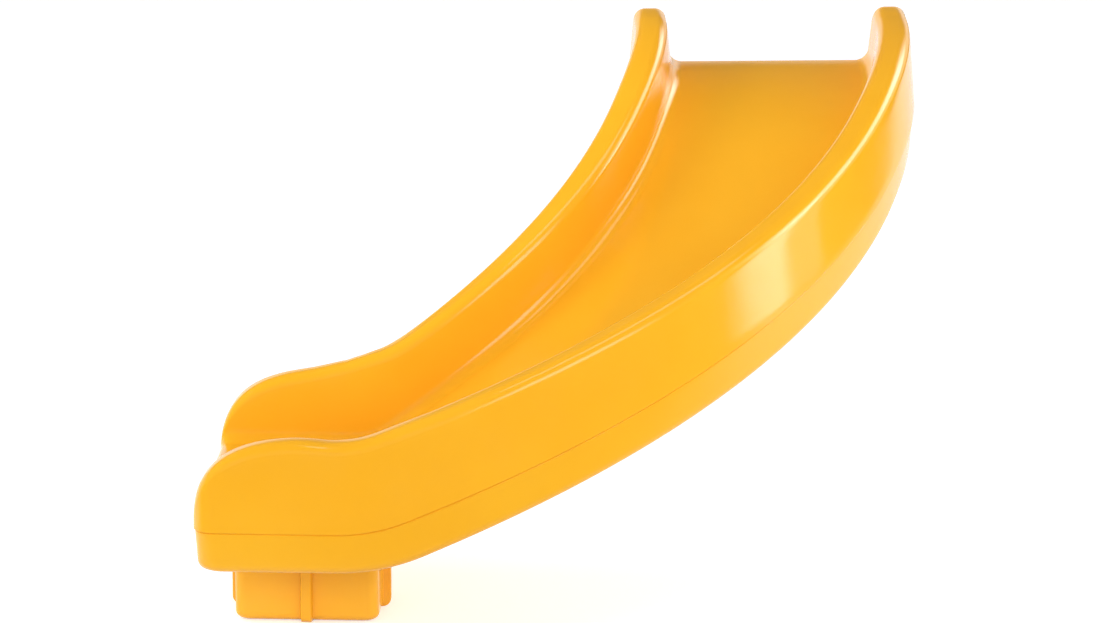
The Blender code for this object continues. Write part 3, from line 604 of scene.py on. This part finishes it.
last_ring = first_ring + (len(rings) - 1) * around_foot
foot = make_piece("foot", rings.reshape(-1, 3),
                  grid_faces(0, len(rings), around_foot, closed=True), [first_ring, last_ring])
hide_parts("exit_foot")
print("foot:", len(foot.data.polygons), "faces")

# %% [markdown]
# Fasteners
#
# Screws come up through the pan, bolts and washers hold the foot, and brass inserts wait in
# the deck face. Each is a turned shape: a profile of radii and heights goes round an axis.
# A hexagon head comes from the same formula, with its radius cut back to six flats.

# %% Turned shapes
SCREW_RADIUS, BOLT_RADIUS, HEAD_RATIO, HEAD_DEPTH, SOFT_EDGE = 0.004, 0.005, 1.85, 1.3, 0.1
SCREW_LENGTH, BOLT_LENGTH, INSERT_LENGTH, INSERT_WALL = 0.022, 0.032, 0.018, 0.0025
TOUCH_GAP, HOLE_CLEARANCE, PAD_HEIGHT, SPOT_DEPTH = 0.0003, 0.0006, 0.002, 0.0015


def turned_shape(profile, pose, hexagon=(), hollow=False, sides=72):
    """Turn (radius, height) pairs about an axis and put them at a pose.

    A ring listed in hexagon gets six flats: its radius is multiplied by cos(30 degrees) over
    the cosine of the angle from the nearest flat's middle.
    """
    profile = np.array(profile)
    angle = np.arange(sides) * 2 * math.pi / sides
    reach = np.ones((len(profile), sides))
    reach[list(hexagon)] = math.cos(math.pi / 6) / np.cos(angle % (math.pi / 3) - math.pi / 6)
    radius = profile[:, :1] * reach
    height = np.broadcast_to(profile[:, 1:], radius.shape)
    points = np.stack([radius * np.cos(angle), radius * np.sin(angle), height], axis=-1)
    axes, origin = pose
    points = points.reshape(-1, 3) @ axes + origin
    number = np.arange(sides + 1) % sides
    last = (len(profile) - 1) * sides
    quads = grid_faces(0, len(profile), sides, closed=True)
    if hollow:
        return points, np.concatenate([quads, strip(last + number, number)]), []
    return points, quads, [number[:-1], last + number[:-1]]


def bed_pose(along, across, height):
    """Give three axes and an origin: the third axis is square to the bed."""
    _, _, side, up = frame_at(np.asarray(along))
    origin = place(*map(np.asarray, (along, across, height)))
    return np.array([side, np.cross(up, side), up]), origin


def join_shapes(shapes):
    """Put several shapes into one list of points, faces and end faces."""
    starts = np.cumsum([0] + [len(points) for points, _, _ in shapes])
    points = np.concatenate([points for points, _, _ in shapes])
    quads = np.concatenate([quads + start for (_, quads, _), start in zip(shapes, starts)])
    rings = [ring + start for (_, _, ends), start in zip(shapes, starts) for ring in ends]
    return points, quads, rings


tube = turned_shape([(1, 0), (1, 1)], (np.eye(3), np.zeros(3)))
print("a plain turned shape has", len(tube[0]), "points")

# %% Where the fasteners go
SCREW_FIRST, SCREW_LAST = 0.150, PATH_LENGTH - FOOT_END_GAP - FOOT_LENGTH / 2
SCREW_PAIRS, SCREW_ACROSS = 4, 0.178
screw_places = [(along, side * SCREW_ACROSS)
                for along in np.linspace(SCREW_FIRST, SCREW_LAST, SCREW_PAIRS) for side in (1, -1)]
BOLT_ACROSS, BOLT_OFFSET, WASHER_RADIUS, WASHER_THICKNESS = 0.080, 0.002, 0.0105, 0.002
reach = FOOT_LENGTH / 2 + FLANGE_END_REACH / 2 + BOLT_OFFSET
bolt_plan = np.array([(along, side * BOLT_ACROSS) for along in (-reach, reach) for side in (1, -1)])
bolt_places = list(zip(*find_under(exit_to_world(bolt_plan), -BODY_DEPTH - FLANGE_THICKNESS / 2)))
DECK_PITCH, DECK_BOLTS = 0.130, 4
facing = np.array([[1.0, 0.0, 0.0], [0.0, 0.0, 1.0], [0.0, -1.0, 0.0]])
deck_poses = [(facing, np.array([(k - (DECK_BOLTS - 1) / 2) * DECK_PITCH, 0.0, 0.0]))
              for k in range(DECK_BOLTS)]
print("screws at", [round(float(along), 3) for along, _ in screw_places[::2]])

# %% Profiles of the fasteners
INSERT_SOFT, WASHER_SOFT = 0.0004, 0.0003


def hex_bolt(radius, length, pose):
    """Turn a bolt: a chamfered hexagon head under the seat and a plain shank over it."""
    head, deep, soft = radius * HEAD_RATIO, radius * HEAD_DEPTH, radius * SOFT_EDGE
    profile = [(head * 0.3, -deep), (head * 0.80, -deep), (head * 0.87, -deep + soft * 0.5),
               (head, -deep + soft * 2), (head, -soft * 0.5), (head * 0.97, 0.0), (radius, 0.0),
               (radius, length - soft * 2), (radius - soft * 2, length)]
    return turned_shape(profile, pose, hexagon=(3, 4))


def insert_tube(radius, pose):
    """Turn an insert: a plain tube with softened mouths."""
    bore, body, soft = radius + TOUCH_GAP, radius + TOUCH_GAP + INSERT_WALL, INSERT_SOFT
    profile = [(bore, soft), (bore + soft, 0.0), (body - soft, 0.0), (body, soft),
               (body, INSERT_LENGTH - soft), (body - soft, INSERT_LENGTH),
               (bore + soft, INSERT_LENGTH), (bore, INSERT_LENGTH - soft)]
    return turned_shape(profile, pose, hollow=True)


def washer(radius, pose):
    """Turn a washer for a bolt: a flat ring with softened outer edges."""
    bore, soft = radius + HOLE_CLEARANCE, WASHER_SOFT
    profile = [(bore, 0.0), (WASHER_RADIUS - soft, 0.0), (WASHER_RADIUS, soft),
               (WASHER_RADIUS, WASHER_THICKNESS - soft), (WASHER_RADIUS - soft, WASHER_THICKNESS),
               (bore, WASHER_THICKNESS)]
    return turned_shape(profile, pose, hollow=True)


print("heads are", [round(2000 * radius * HEAD_RATIO, 1) for radius in (SCREW_RADIUS, BOLT_RADIUS)],
      "mm over the corners")

# %% Screws, bolts, washers and inserts
metal_pieces = {"steel": [], "brass": []}


def add_metal(name, shape, finish):
    """Make a small metal piece that stands for the solid with its name."""
    piece = make_piece(name + "_fine", *shape, sharp=28.0)
    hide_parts(name)
    metal_pieces[finish].append(piece)


FLOOR_TOP = WALL + PAD_HEIGHT
for number, spot in enumerate(screw_places, start=1):
    seat = bed_pose(*spot, -BODY_DEPTH + SPOT_DEPTH - TOUCH_GAP)
    add_metal(f"body_screw_{number}", hex_bolt(SCREW_RADIUS, SCREW_LENGTH, seat), "steel")
    mouth = bed_pose(*spot, -BODY_DEPTH + FLOOR_TOP + TOUCH_GAP)
    add_metal(f"body_insert_{number}", insert_tube(SCREW_RADIUS, mouth), "brass")
WASHER_TOP = -BODY_DEPTH - SEAT_GAP - FLANGE_THICKNESS + SPOT_DEPTH - TOUCH_GAP
WASHER_FOOT = WASHER_TOP - WASHER_THICKNESS
for number, spot in enumerate(bolt_places, start=1):
    add_metal(f"foot_washer_{number}", washer(BOLT_RADIUS, bed_pose(*spot, WASHER_FOOT)), "steel")
    seat = bed_pose(*spot, WASHER_FOOT - TOUCH_GAP)
    add_metal(f"foot_bolt_{number}", hex_bolt(BOLT_RADIUS, BOLT_LENGTH, seat), "steel")
    mouth = bed_pose(*spot, -BODY_DEPTH)
    add_metal(f"foot_insert_{number}", insert_tube(BOLT_RADIUS, mouth), "brass")
for number, pose in enumerate(deck_poses, start=1):
    add_metal(f"deck_insert_{number}", insert_tube(BOLT_RADIUS, pose), "brass")
print({finish: len(made) for finish, made in metal_pieces.items()}, "metal pieces")

# %% [markdown]
# Holes and bosses
#
# The plastic has a hole for each fastener and a thicker boss around it. A Boolean modifier
# joins all bosses in one go and then cuts all holes in one go. The Exact solver keeps the
# walls closed. Its result replaces the mesh, so no modifier stays on the piece.

# %% Join the bosses and cut the holes


def change_shape(target, operation, shapes):
    """Join shapes to a piece or cut them away, and keep the result as its mesh."""
    tool = make_piece("tool", *join_shapes(shapes))
    change = target.modifiers.new("change", "BOOLEAN")
    change.operation, change.solver, change.object = operation, "EXACT", tool
    bpy.context.view_layer.update()
    changed = target.evaluated_get(bpy.context.evaluated_depsgraph_get())
    made = bpy.data.meshes.new_from_object(changed)
    target.modifiers.remove(change)
    target.data = made
    bpy.data.objects.remove(tool, do_unlink=True)
    print(target.name, operation.lower(), len(shapes), "shapes:", len(made.polygons), "faces")


def plugs(profile, poses):
    """Turn one profile at each pose."""
    return [turned_shape(profile, pose, sides=48) for pose in poses]


POST_RADIUS, POST_ROOT_RADIUS, CUT_PAST = 0.014, 0.019, 0.01
screw_poses = [bed_pose(along, across, -BODY_DEPTH) for along, across in screw_places]
bolt_poses = [bed_pose(along, across, -BODY_DEPTH) for along, across in bolt_places]
screw_hole, bolt_hole = (radius + INSERT_WALL + 2 * TOUCH_GAP
                         for radius in (SCREW_RADIUS, BOLT_RADIUS))
post_end, pad_radius = FLOOR_TOP + TOUCH_GAP, POST_RADIUS + PAD_HEIGHT
post = [(POST_RADIUS, post_end), (POST_ROOT_RADIUS, BODY_DEPTH - WALL / 2)]
post_hole = [(screw_hole, 0.0), (screw_hole, post_end + INSERT_LENGTH + TOUCH_GAP)]
change_shape(trough, "UNION", plugs(post, screw_poses))
change_shape(trough, "DIFFERENCE", plugs(post_hole, screw_poses))

# %% Holes of the pan and the foot
pad = [(pad_radius + PAD_HEIGHT, WALL / 2), (pad_radius, FLOOR_TOP)]
boss = [(bolt_hole + WALL, WALL / 2), (bolt_hole + WALL, INSERT_LENGTH + WALL)]
socket = [(bolt_hole, -CUT_PAST), (bolt_hole, INSERT_LENGTH + TOUCH_GAP)]
screw_bore = SCREW_RADIUS + HOLE_CLEARANCE
screw_recess = SCREW_RADIUS * HEAD_RATIO + 2 * HOLE_CLEARANCE
screw_way = [(screw_recess, -CUT_PAST), (screw_recess, SPOT_DEPTH),
             (screw_bore, SPOT_DEPTH), (screw_bore, FLOOR_TOP + CUT_PAST)]
change_shape(pan, "UNION", plugs(pad, screw_poses) + plugs(boss, deck_poses + bolt_poses))
change_shape(pan, "DIFFERENCE",
             plugs(screw_way, screw_poses) + plugs(socket, deck_poses + bolt_poses))
washer_recess, bolt_bore = WASHER_RADIUS + HOLE_CLEARANCE, BOLT_RADIUS + HOLE_CLEARANCE
under = WASHER_TOP + BODY_DEPTH
bolt_way = [(washer_recess, under - 2 * CUT_PAST), (washer_recess, under + TOUCH_GAP),
            (bolt_bore, under + TOUCH_GAP), (bolt_bore, CUT_PAST)]
change_shape(foot, "DIFFERENCE", plugs(bolt_way, bolt_poses))

# %% [markdown]
# Shader sums
#
# A finish is a picture worked out for each point of a surface. A small class holds one wire of
# the shader tree, so that a sum written in Python adds the Math nodes that do the sum.

# %% A wire that does sums


class Wire:
    """One output of a shader node. Operators on it add Math nodes."""

    def __init__(self, tree, socket):
        self.tree, self.socket = tree, socket

    @staticmethod
    def add(tree, kind, settings=None, output=0, **values):
        """Add any node: its settings first, then numbers or wires for its sockets."""
        made = tree.nodes.new(kind)
        for name, value in (settings or {}).items():
            setattr(made, name, value)
        for name, value in values.items():
            index = int(name[1:]) if name[1:].isdigit() else name.replace("_", " ")
            target = made.inputs[index]
            if isinstance(value, Wire):
                tree.links.new(value.socket, target)
            else:
                target.default_value = value
        return Wire(tree, made.outputs[output])

    def sum(self, operation, first, second):
        """Add one Math node."""
        return Wire.add(self.tree, "ShaderNodeMath", {"operation": operation}, i0=first, i1=second)

    def __add__(self, other):
        return self.sum("ADD", self, other)

    def __mul__(self, other):
        return self.sum("MULTIPLY", self, other)

    def __sub__(self, other):
        return self.sum("SUBTRACT", self, other)

    def __rsub__(self, other):
        return self.sum("SUBTRACT", other, self)

    __radd__, __rmul__ = __add__, __mul__

    def between(self, low, high):
        """Rise smoothly from 0 at low to 1 at high."""
        return Wire.add(self.tree, "ShaderNodeMapRange", {"interpolation_type": "SMOOTHSTEP"},
                        Value=self, From_Min=low, From_Max=high)


print("a wire can", [name for name in vars(Wire) if not name.startswith("_")])

# %% Nodes that several finishes share


def new_finish(name):
    """Make a material and give its tree, its main shader and its Object coordinates."""
    finish = bpy.data.materials.new(name)
    finish.use_nodes = True
    tree = finish.node_tree
    shader = tree.nodes["Principled BSDF"]
    return finish, tree, shader, Wire.add(tree, "ShaderNodeTexCoord", output="Object")


def noise(tree, where, scale, detail=2.0, rough=0.5):
    """Add a cloud of noise and give its value."""
    return Wire.add(tree, "ShaderNodeTexNoise", Vector=where, Scale=scale, Detail=detail,
                    Roughness=rough)


def mixed(tree, share, first, second):
    """Mix two colours. The share goes to the factor."""
    return Wire.add(tree, "ShaderNodeMix", {"data_type": "RGBA"}, output=2, i0=share,
                    i6=first, i7=second)


print("shared by finishes:", [helper.__name__ for helper in (new_finish, noise, mixed)])

# %% [markdown]
# Moulded yellow plastic
#
# Rotationally moulded polyethylene has its colour all through. Its skin is glossy but never
# flat: it copies the mould's faint waves and a fine grain, and pigment swirls a little. Two
# noises bend the colour by a few percent, two more bend the surface, and play wears the
# gloss unevenly. All of it reads Object coordinates, so it runs on from piece to piece.

# %% Yellow plastic
CLOUDS, FLECKS, WEAR, WAVES, GRAIN = 3.5, 420.0, 9.0, 16.0, 900.0
CLOUD_SHARE, FLECK_SHARE, WEAR_REACH, BUMP = 0.75, 0.25, 0.06, 0.06
WAVE_DEPTH, GRAIN_DEPTH, PLASTIC_IOR, PLASTIC_SPECULAR = 0.004, 0.0004, 1.50, 0.45


def yellow_plastic(name, colour, deep, gloss):
    """Mix two near yellows by a slow cloud, and roughen and bump them with finer ones."""
    finish, tree, shader, where = new_finish(name)
    cloud, fleck = noise(tree, where, CLOUDS, 3.0), noise(tree, where, FLECKS)
    share = cloud.between(0.35, 0.68) * CLOUD_SHARE + fleck.between(0.45, 0.75) * FLECK_SHARE
    blend = mixed(tree, share, (*colour, 1.0), (*deep, 1.0))
    tree.links.new(blend.socket, shader.inputs["Base Color"])
    wear = noise(tree, where, WEAR, 4.0, 0.6)
    rough = wear.between(0.3, 0.75) * WEAR_REACH + gloss
    tree.links.new(rough.socket, shader.inputs["Roughness"])
    waves, grain = noise(tree, where, WAVES, 1.0), noise(tree, where, GRAIN, 1.0)
    soft = Wire.add(tree, "ShaderNodeBump", Strength=BUMP, Distance=WAVE_DEPTH, Height=waves)
    bump = Wire.add(tree, "ShaderNodeBump", Strength=BUMP, Distance=GRAIN_DEPTH, Height=grain,
                    Normal=soft)
    tree.links.new(bump.socket, shader.inputs["Normal"])
    shader.inputs["IOR"].default_value = PLASTIC_IOR
    shader.inputs["Specular IOR Level"].default_value = PLASTIC_SPECULAR
    return finish


plastic = {
    trough: yellow_plastic("yellow_trough", (0.975, 0.478, 0.022), (0.955, 0.450, 0.018), 0.09),
    pan: yellow_plastic("yellow_pan", (0.970, 0.486, 0.022), (0.950, 0.458, 0.018), 0.11),
    foot: yellow_plastic("yellow_foot", (0.970, 0.490, 0.022), (0.950, 0.460, 0.018), 0.16),
}
for piece, finish in plastic.items():
    piece.data.materials.clear()
    piece.data.materials.append(finish)
    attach(piece, "root")
print("yellow finishes:", [finish.name for finish in plastic.values()])

# %% [markdown]
# Steel and brass
#
# The screws and bolts are zinc-plated: bright, a little cloudy, with fine turning marks. The
# inserts are turned brass, darker in patches where it has been touched.

# %% Metals
METAL_CLOUDS, MARKS, MARK_STRETCH = 160.0, 700.0, 6.0
CLOUDY_ROUGH, MARK_BUMP, MARK_DEPTH = 0.18, 0.15, 0.0002


def metal(name, colour, dark, gloss):
    """Mix two near colours by a cloud. Stretched noise gives the turning marks."""
    finish, tree, shader, where = new_finish(name)
    cloud = noise(tree, where, METAL_CLOUDS, 3.0)
    blend = mixed(tree, cloud.between(0.35, 0.7), (*colour, 1.0), (*dark, 1.0))
    tree.links.new(blend.socket, shader.inputs["Base Color"])
    tree.links.new((cloud * CLOUDY_ROUGH + gloss).socket, shader.inputs["Roughness"])
    stretched = Wire.add(tree, "ShaderNodeMapping", Vector=where, Scale=(1.0, 1.0, MARK_STRETCH))
    bump = Wire.add(tree, "ShaderNodeBump", Strength=MARK_BUMP, Distance=MARK_DEPTH,
                    Height=noise(tree, stretched, MARKS))
    tree.links.new(bump.socket, shader.inputs["Normal"])
    shader.inputs["Metallic"].default_value = 1.0
    return finish


finishes = {"steel": metal("zinc_steel", (0.66, 0.67, 0.69), (0.52, 0.53, 0.56), 0.22),
            "brass": metal("turned_brass", (0.76, 0.56, 0.24), (0.60, 0.41, 0.15), 0.24)}
for slot, made in metal_pieces.items():
    for piece in made:
        piece.data.materials.clear()
        piece.data.materials.append(finishes[slot])
        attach(piece, "root")
print("metals:", list(finishes))

# %% [markdown]
# The studio
#
# A white floor reaches far behind the slide and takes its soft shadow. It has to look white
# without more light on the slide, so it glows a little, but only for rays that come from the
# camera or from a gloss. The world is white to the camera too. For soft light it is a bright
# ring at a middle height, weaker on the right, with a lower part in front. Strengths were
# fitted to the colours of some ninety places in the photograph, one group at a time.
#
# What the gloss shows was traced back through the mirrored camera rays. It sees white low in
# the back, a bright band on the right and another in front, which draw the lines along the
# rims, and white paper on the floor that ends in front of the slide and on its right.

# %% White floor
FLOOR_GLOW, FLOOR_REACH, FLOOR_HEIGHT = 0.50, 30.0, GROUND - 0.0005
FLOOR_LIGHT, FLOOR_WHITE, FLOOR_DARK = (0.78,) * 3, (0.80,) * 3, (0.03,) * 3
PAPER_RIGHT_END, PAPER_FRONT_END = (3.2, 3.9), (-1.8, -0.9)
corners = np.array([[-1, -1], [1, -1], [1, 1], [-1, 1]]) * FLOOR_REACH
floor = make_piece("floor", np.column_stack([corners, np.full(4, FLOOR_HEIGHT)]),
                   np.array([[0, 1, 2, 3]]))


def ray_kinds(tree):
    """Give two wires: 1 for rays of the camera, and 1 for rays of a gloss or through glass."""
    camera_ray, gloss_ray, glass_ray = (
        Wire.add(tree, "ShaderNodeLightPath", output=f"Is {kind} Ray")
        for kind in ("Camera", "Glossy", "Transmission"))
    return camera_ray, gloss_ray.sum("MAXIMUM", gloss_ray, glass_ray)


finish, tree, shader, where = new_finish("white_floor")
shader.inputs["Roughness"].default_value = 1.0
shader.inputs["Specular IOR Level"].default_value = 0.0
grain = noise(tree, where, 40.0).between(0.0, 1.0)
white = mixed(tree, grain, (*FLOOR_LIGHT, 1.0), (*FLOOR_WHITE, 1.0))
floor_right, floor_back = (Wire.add(tree, "ShaderNodeSeparateXYZ", output=axis, Vector=where)
                           for axis in "XY")
paper = (1 - floor_right.between(*PAPER_RIGHT_END)) * floor_back.between(*PAPER_FRONT_END)
camera_ray, direct = ray_kinds(tree)
blend = mixed(tree, direct * (1 - paper), white, (*FLOOR_DARK, 1.0))
tree.links.new(blend.socket, shader.inputs["Base Color"])
shine = (camera_ray + direct * paper) * FLOOR_GLOW
glow = Wire.add(tree, "ShaderNodeCombineColor", Red=shine, Green=shine, Blue=shine)
tree.links.new(glow.socket, shader.inputs["Emission Color"])
shader.inputs["Emission Strength"].default_value = 1.0
floor.data.materials.append(finish)
print("floor at", round(FLOOR_HEIGHT, 4))

# %% World of the studio
LOW_FRONT, RING, RING_LESS_RIGHT, OVERHEAD = 1.95, 2.45, 1.65, 0.10
GLOSS_BACK, GLOSS_RING, GLOSS_REST, FRONT_BAND = 0.9, 7.0, 0.08, 0.7
RING_FOOT, RING_TOP, SIDE_EDGE, BACK_EDGE = (0.17, 0.33), (0.52, 0.68), (-0.25, 0.25), (-0.1, 0.4)
RIGHT_BAND_EDGE, RIGHT_BAND_END = (-0.5, 0.1), (-0.45, -0.15)
FRONT_BAND_EDGE, FRONT_BAND_END = (-0.78, -0.60), (0.0, 0.25)
world = bpy.data.worlds.new("studio")
bpy.context.scene.world = world
world.use_nodes = True
sky = world.node_tree
direction = Wire.add(sky, "ShaderNodeTexCoord", output="Generated")
right, back, height = (Wire.add(sky, "ShaderNodeSeparateXYZ", output=axis, Vector=direction)
                       for axis in "XYZ")
past_one, past_other = (right + back).between(*SIDE_EDGE), (back - right).between(*SIDE_EDGE)
in_front, on_right = (1 - past_one) * (1 - past_other), past_one * (1 - past_other)
over_foot, over_top = height.between(*RING_FOOT), height.between(*RING_TOP)
low, ring = 1 - over_foot, over_foot - over_top
light = (in_front * low * LOW_FRONT + ring * (RING - on_right * RING_LESS_RIGHT)
         + over_top * OVERHEAD)
right_band = (right - back).between(*RIGHT_BAND_EDGE) * back.between(*RIGHT_BAND_END)
front_band = (1 - back.between(*FRONT_BAND_EDGE)) * right.between(*FRONT_BAND_END) * FRONT_BAND
gloss = (back.between(*BACK_EDGE) * low * GLOSS_BACK
         + (right_band + front_band) * ring * GLOSS_RING + GLOSS_REST)
camera_ray, direct = ray_kinds(sky)
strength = camera_ray + (1 - camera_ray) * (direct * gloss + (1 - direct) * light)
background = sky.nodes["Background"]
background.inputs["Color"].default_value = (1.0, 1.0, 1.0, 1.0)
sky.links.new(strength.socket, background.inputs["Strength"])
print("the world has", len(sky.nodes), "nodes")

# %% [markdown]
# Lamps
#
# The photograph shows where its lamps stood. A tall soft box on the right shines back from the
# outer wall as a pale patch with upright sides. The patch grows softly from the left and has a
# weaker strip on its right, so this lamp is shaded in the same way. One lamp hangs overhead. A
# third lights the run-out from the left and leaves no mirror image.

# %% Soft boxes


def soft_box(name, spot, aim, size, power, in_gloss):
    """Hang a rectangular lamp and point it at a place."""
    lamp = bpy.data.lights.new(name, "AREA")
    lamp.shape, lamp.size, lamp.size_y, lamp.energy = "RECTANGLE", *size, power
    made = bpy.data.objects.new(name, lamp)
    bpy.context.collection.objects.link(made)
    turn = (Vector(aim) - Vector(spot)).to_track_quat("-Z", "Y")
    made.matrix_world = Matrix.Translation(spot) @ turn.to_matrix().to_4x4()
    made.visible_camera, made.visible_glossy = False, in_gloss
    return made


def shade_lamp(lamp, grow, drop, left_over):
    """Let a lamp grow bright over one part of its width and drop to a rest over another.

    The Parametric output runs from 0 to 1 across the lamp.
    """
    lamp.data.use_nodes = True
    tree = lamp.data.node_tree
    across = Wire.add(tree, "ShaderNodeSeparateXYZ", output="X",
                      Vector=Wire.add(tree, "ShaderNodeNewGeometry", output="Parametric"))
    strength = across.between(*grow) * (1 - across.between(*drop) * (1 - left_over))
    tree.links.new(strength.socket, tree.nodes["Emission"].inputs["Strength"])


LAMPS = [
    ("right_box", (3.2, -1.10, 0.25), (0.2, -0.95, -0.1), (2.1, 2.1), 86.0, True),
    ("top_box", (-0.2, -1.6, 2.6), (-0.5, -0.7, -0.3), (2.2, 0.8), 14.5, True),
    ("left_fill", (-3.2, -0.4, 1.3), (-0.9, -0.9, -0.4), (1.5, 1.5), 26.0, False),
]
lamps = [soft_box(*sizes) for sizes in LAMPS]
shade_lamp(lamps[0], grow=(0.0, 0.36), drop=(0.60, 0.68), left_over=0.22)
print(len(lamps), "lamps")

# %% [markdown]
# The camera
#
# The photograph was taken from far away, a little above, straight at the outside of the turn.
# Its place came from matching rim, bed and seam lines. The lens is long: the view is 1110
# pixels wide, and one pixel is 1/5452 of the distance.

# %% Camera
VIEW_TURN, VIEW_RISE, VIEW_DISTANCE = math.radians(-2.0018), math.radians(14.7659), 11.543
PIXELS, FOCAL_PIXELS, SENSOR_WIDTH, SIGHT = 1110, 5451.5, 36.0, 100.0
TARGET = Vector((-0.5068, -0.8, -0.2801))
to_camera = Vector((math.sin(VIEW_TURN) * math.cos(VIEW_RISE),
                    -math.cos(VIEW_TURN) * math.cos(VIEW_RISE), math.sin(VIEW_RISE)))
lens = bpy.data.cameras.new("camera")
lens.sensor_fit, lens.sensor_width = "HORIZONTAL", SENSOR_WIDTH
lens.lens, lens.clip_end = FOCAL_PIXELS / PIXELS * SENSOR_WIDTH, SIGHT
camera = bpy.data.objects.new("camera", lens)
bpy.context.collection.objects.link(camera)
turn = to_camera.to_track_quat("Z", "Y").to_matrix().to_4x4()
camera.matrix_world = Matrix.Translation(TARGET + to_camera * VIEW_DISTANCE) @ turn
bpy.context.scene.camera = camera
bpy.context.scene.view_settings.view_transform = "Standard"
print("lens", round(lens.lens, 1), "mm")
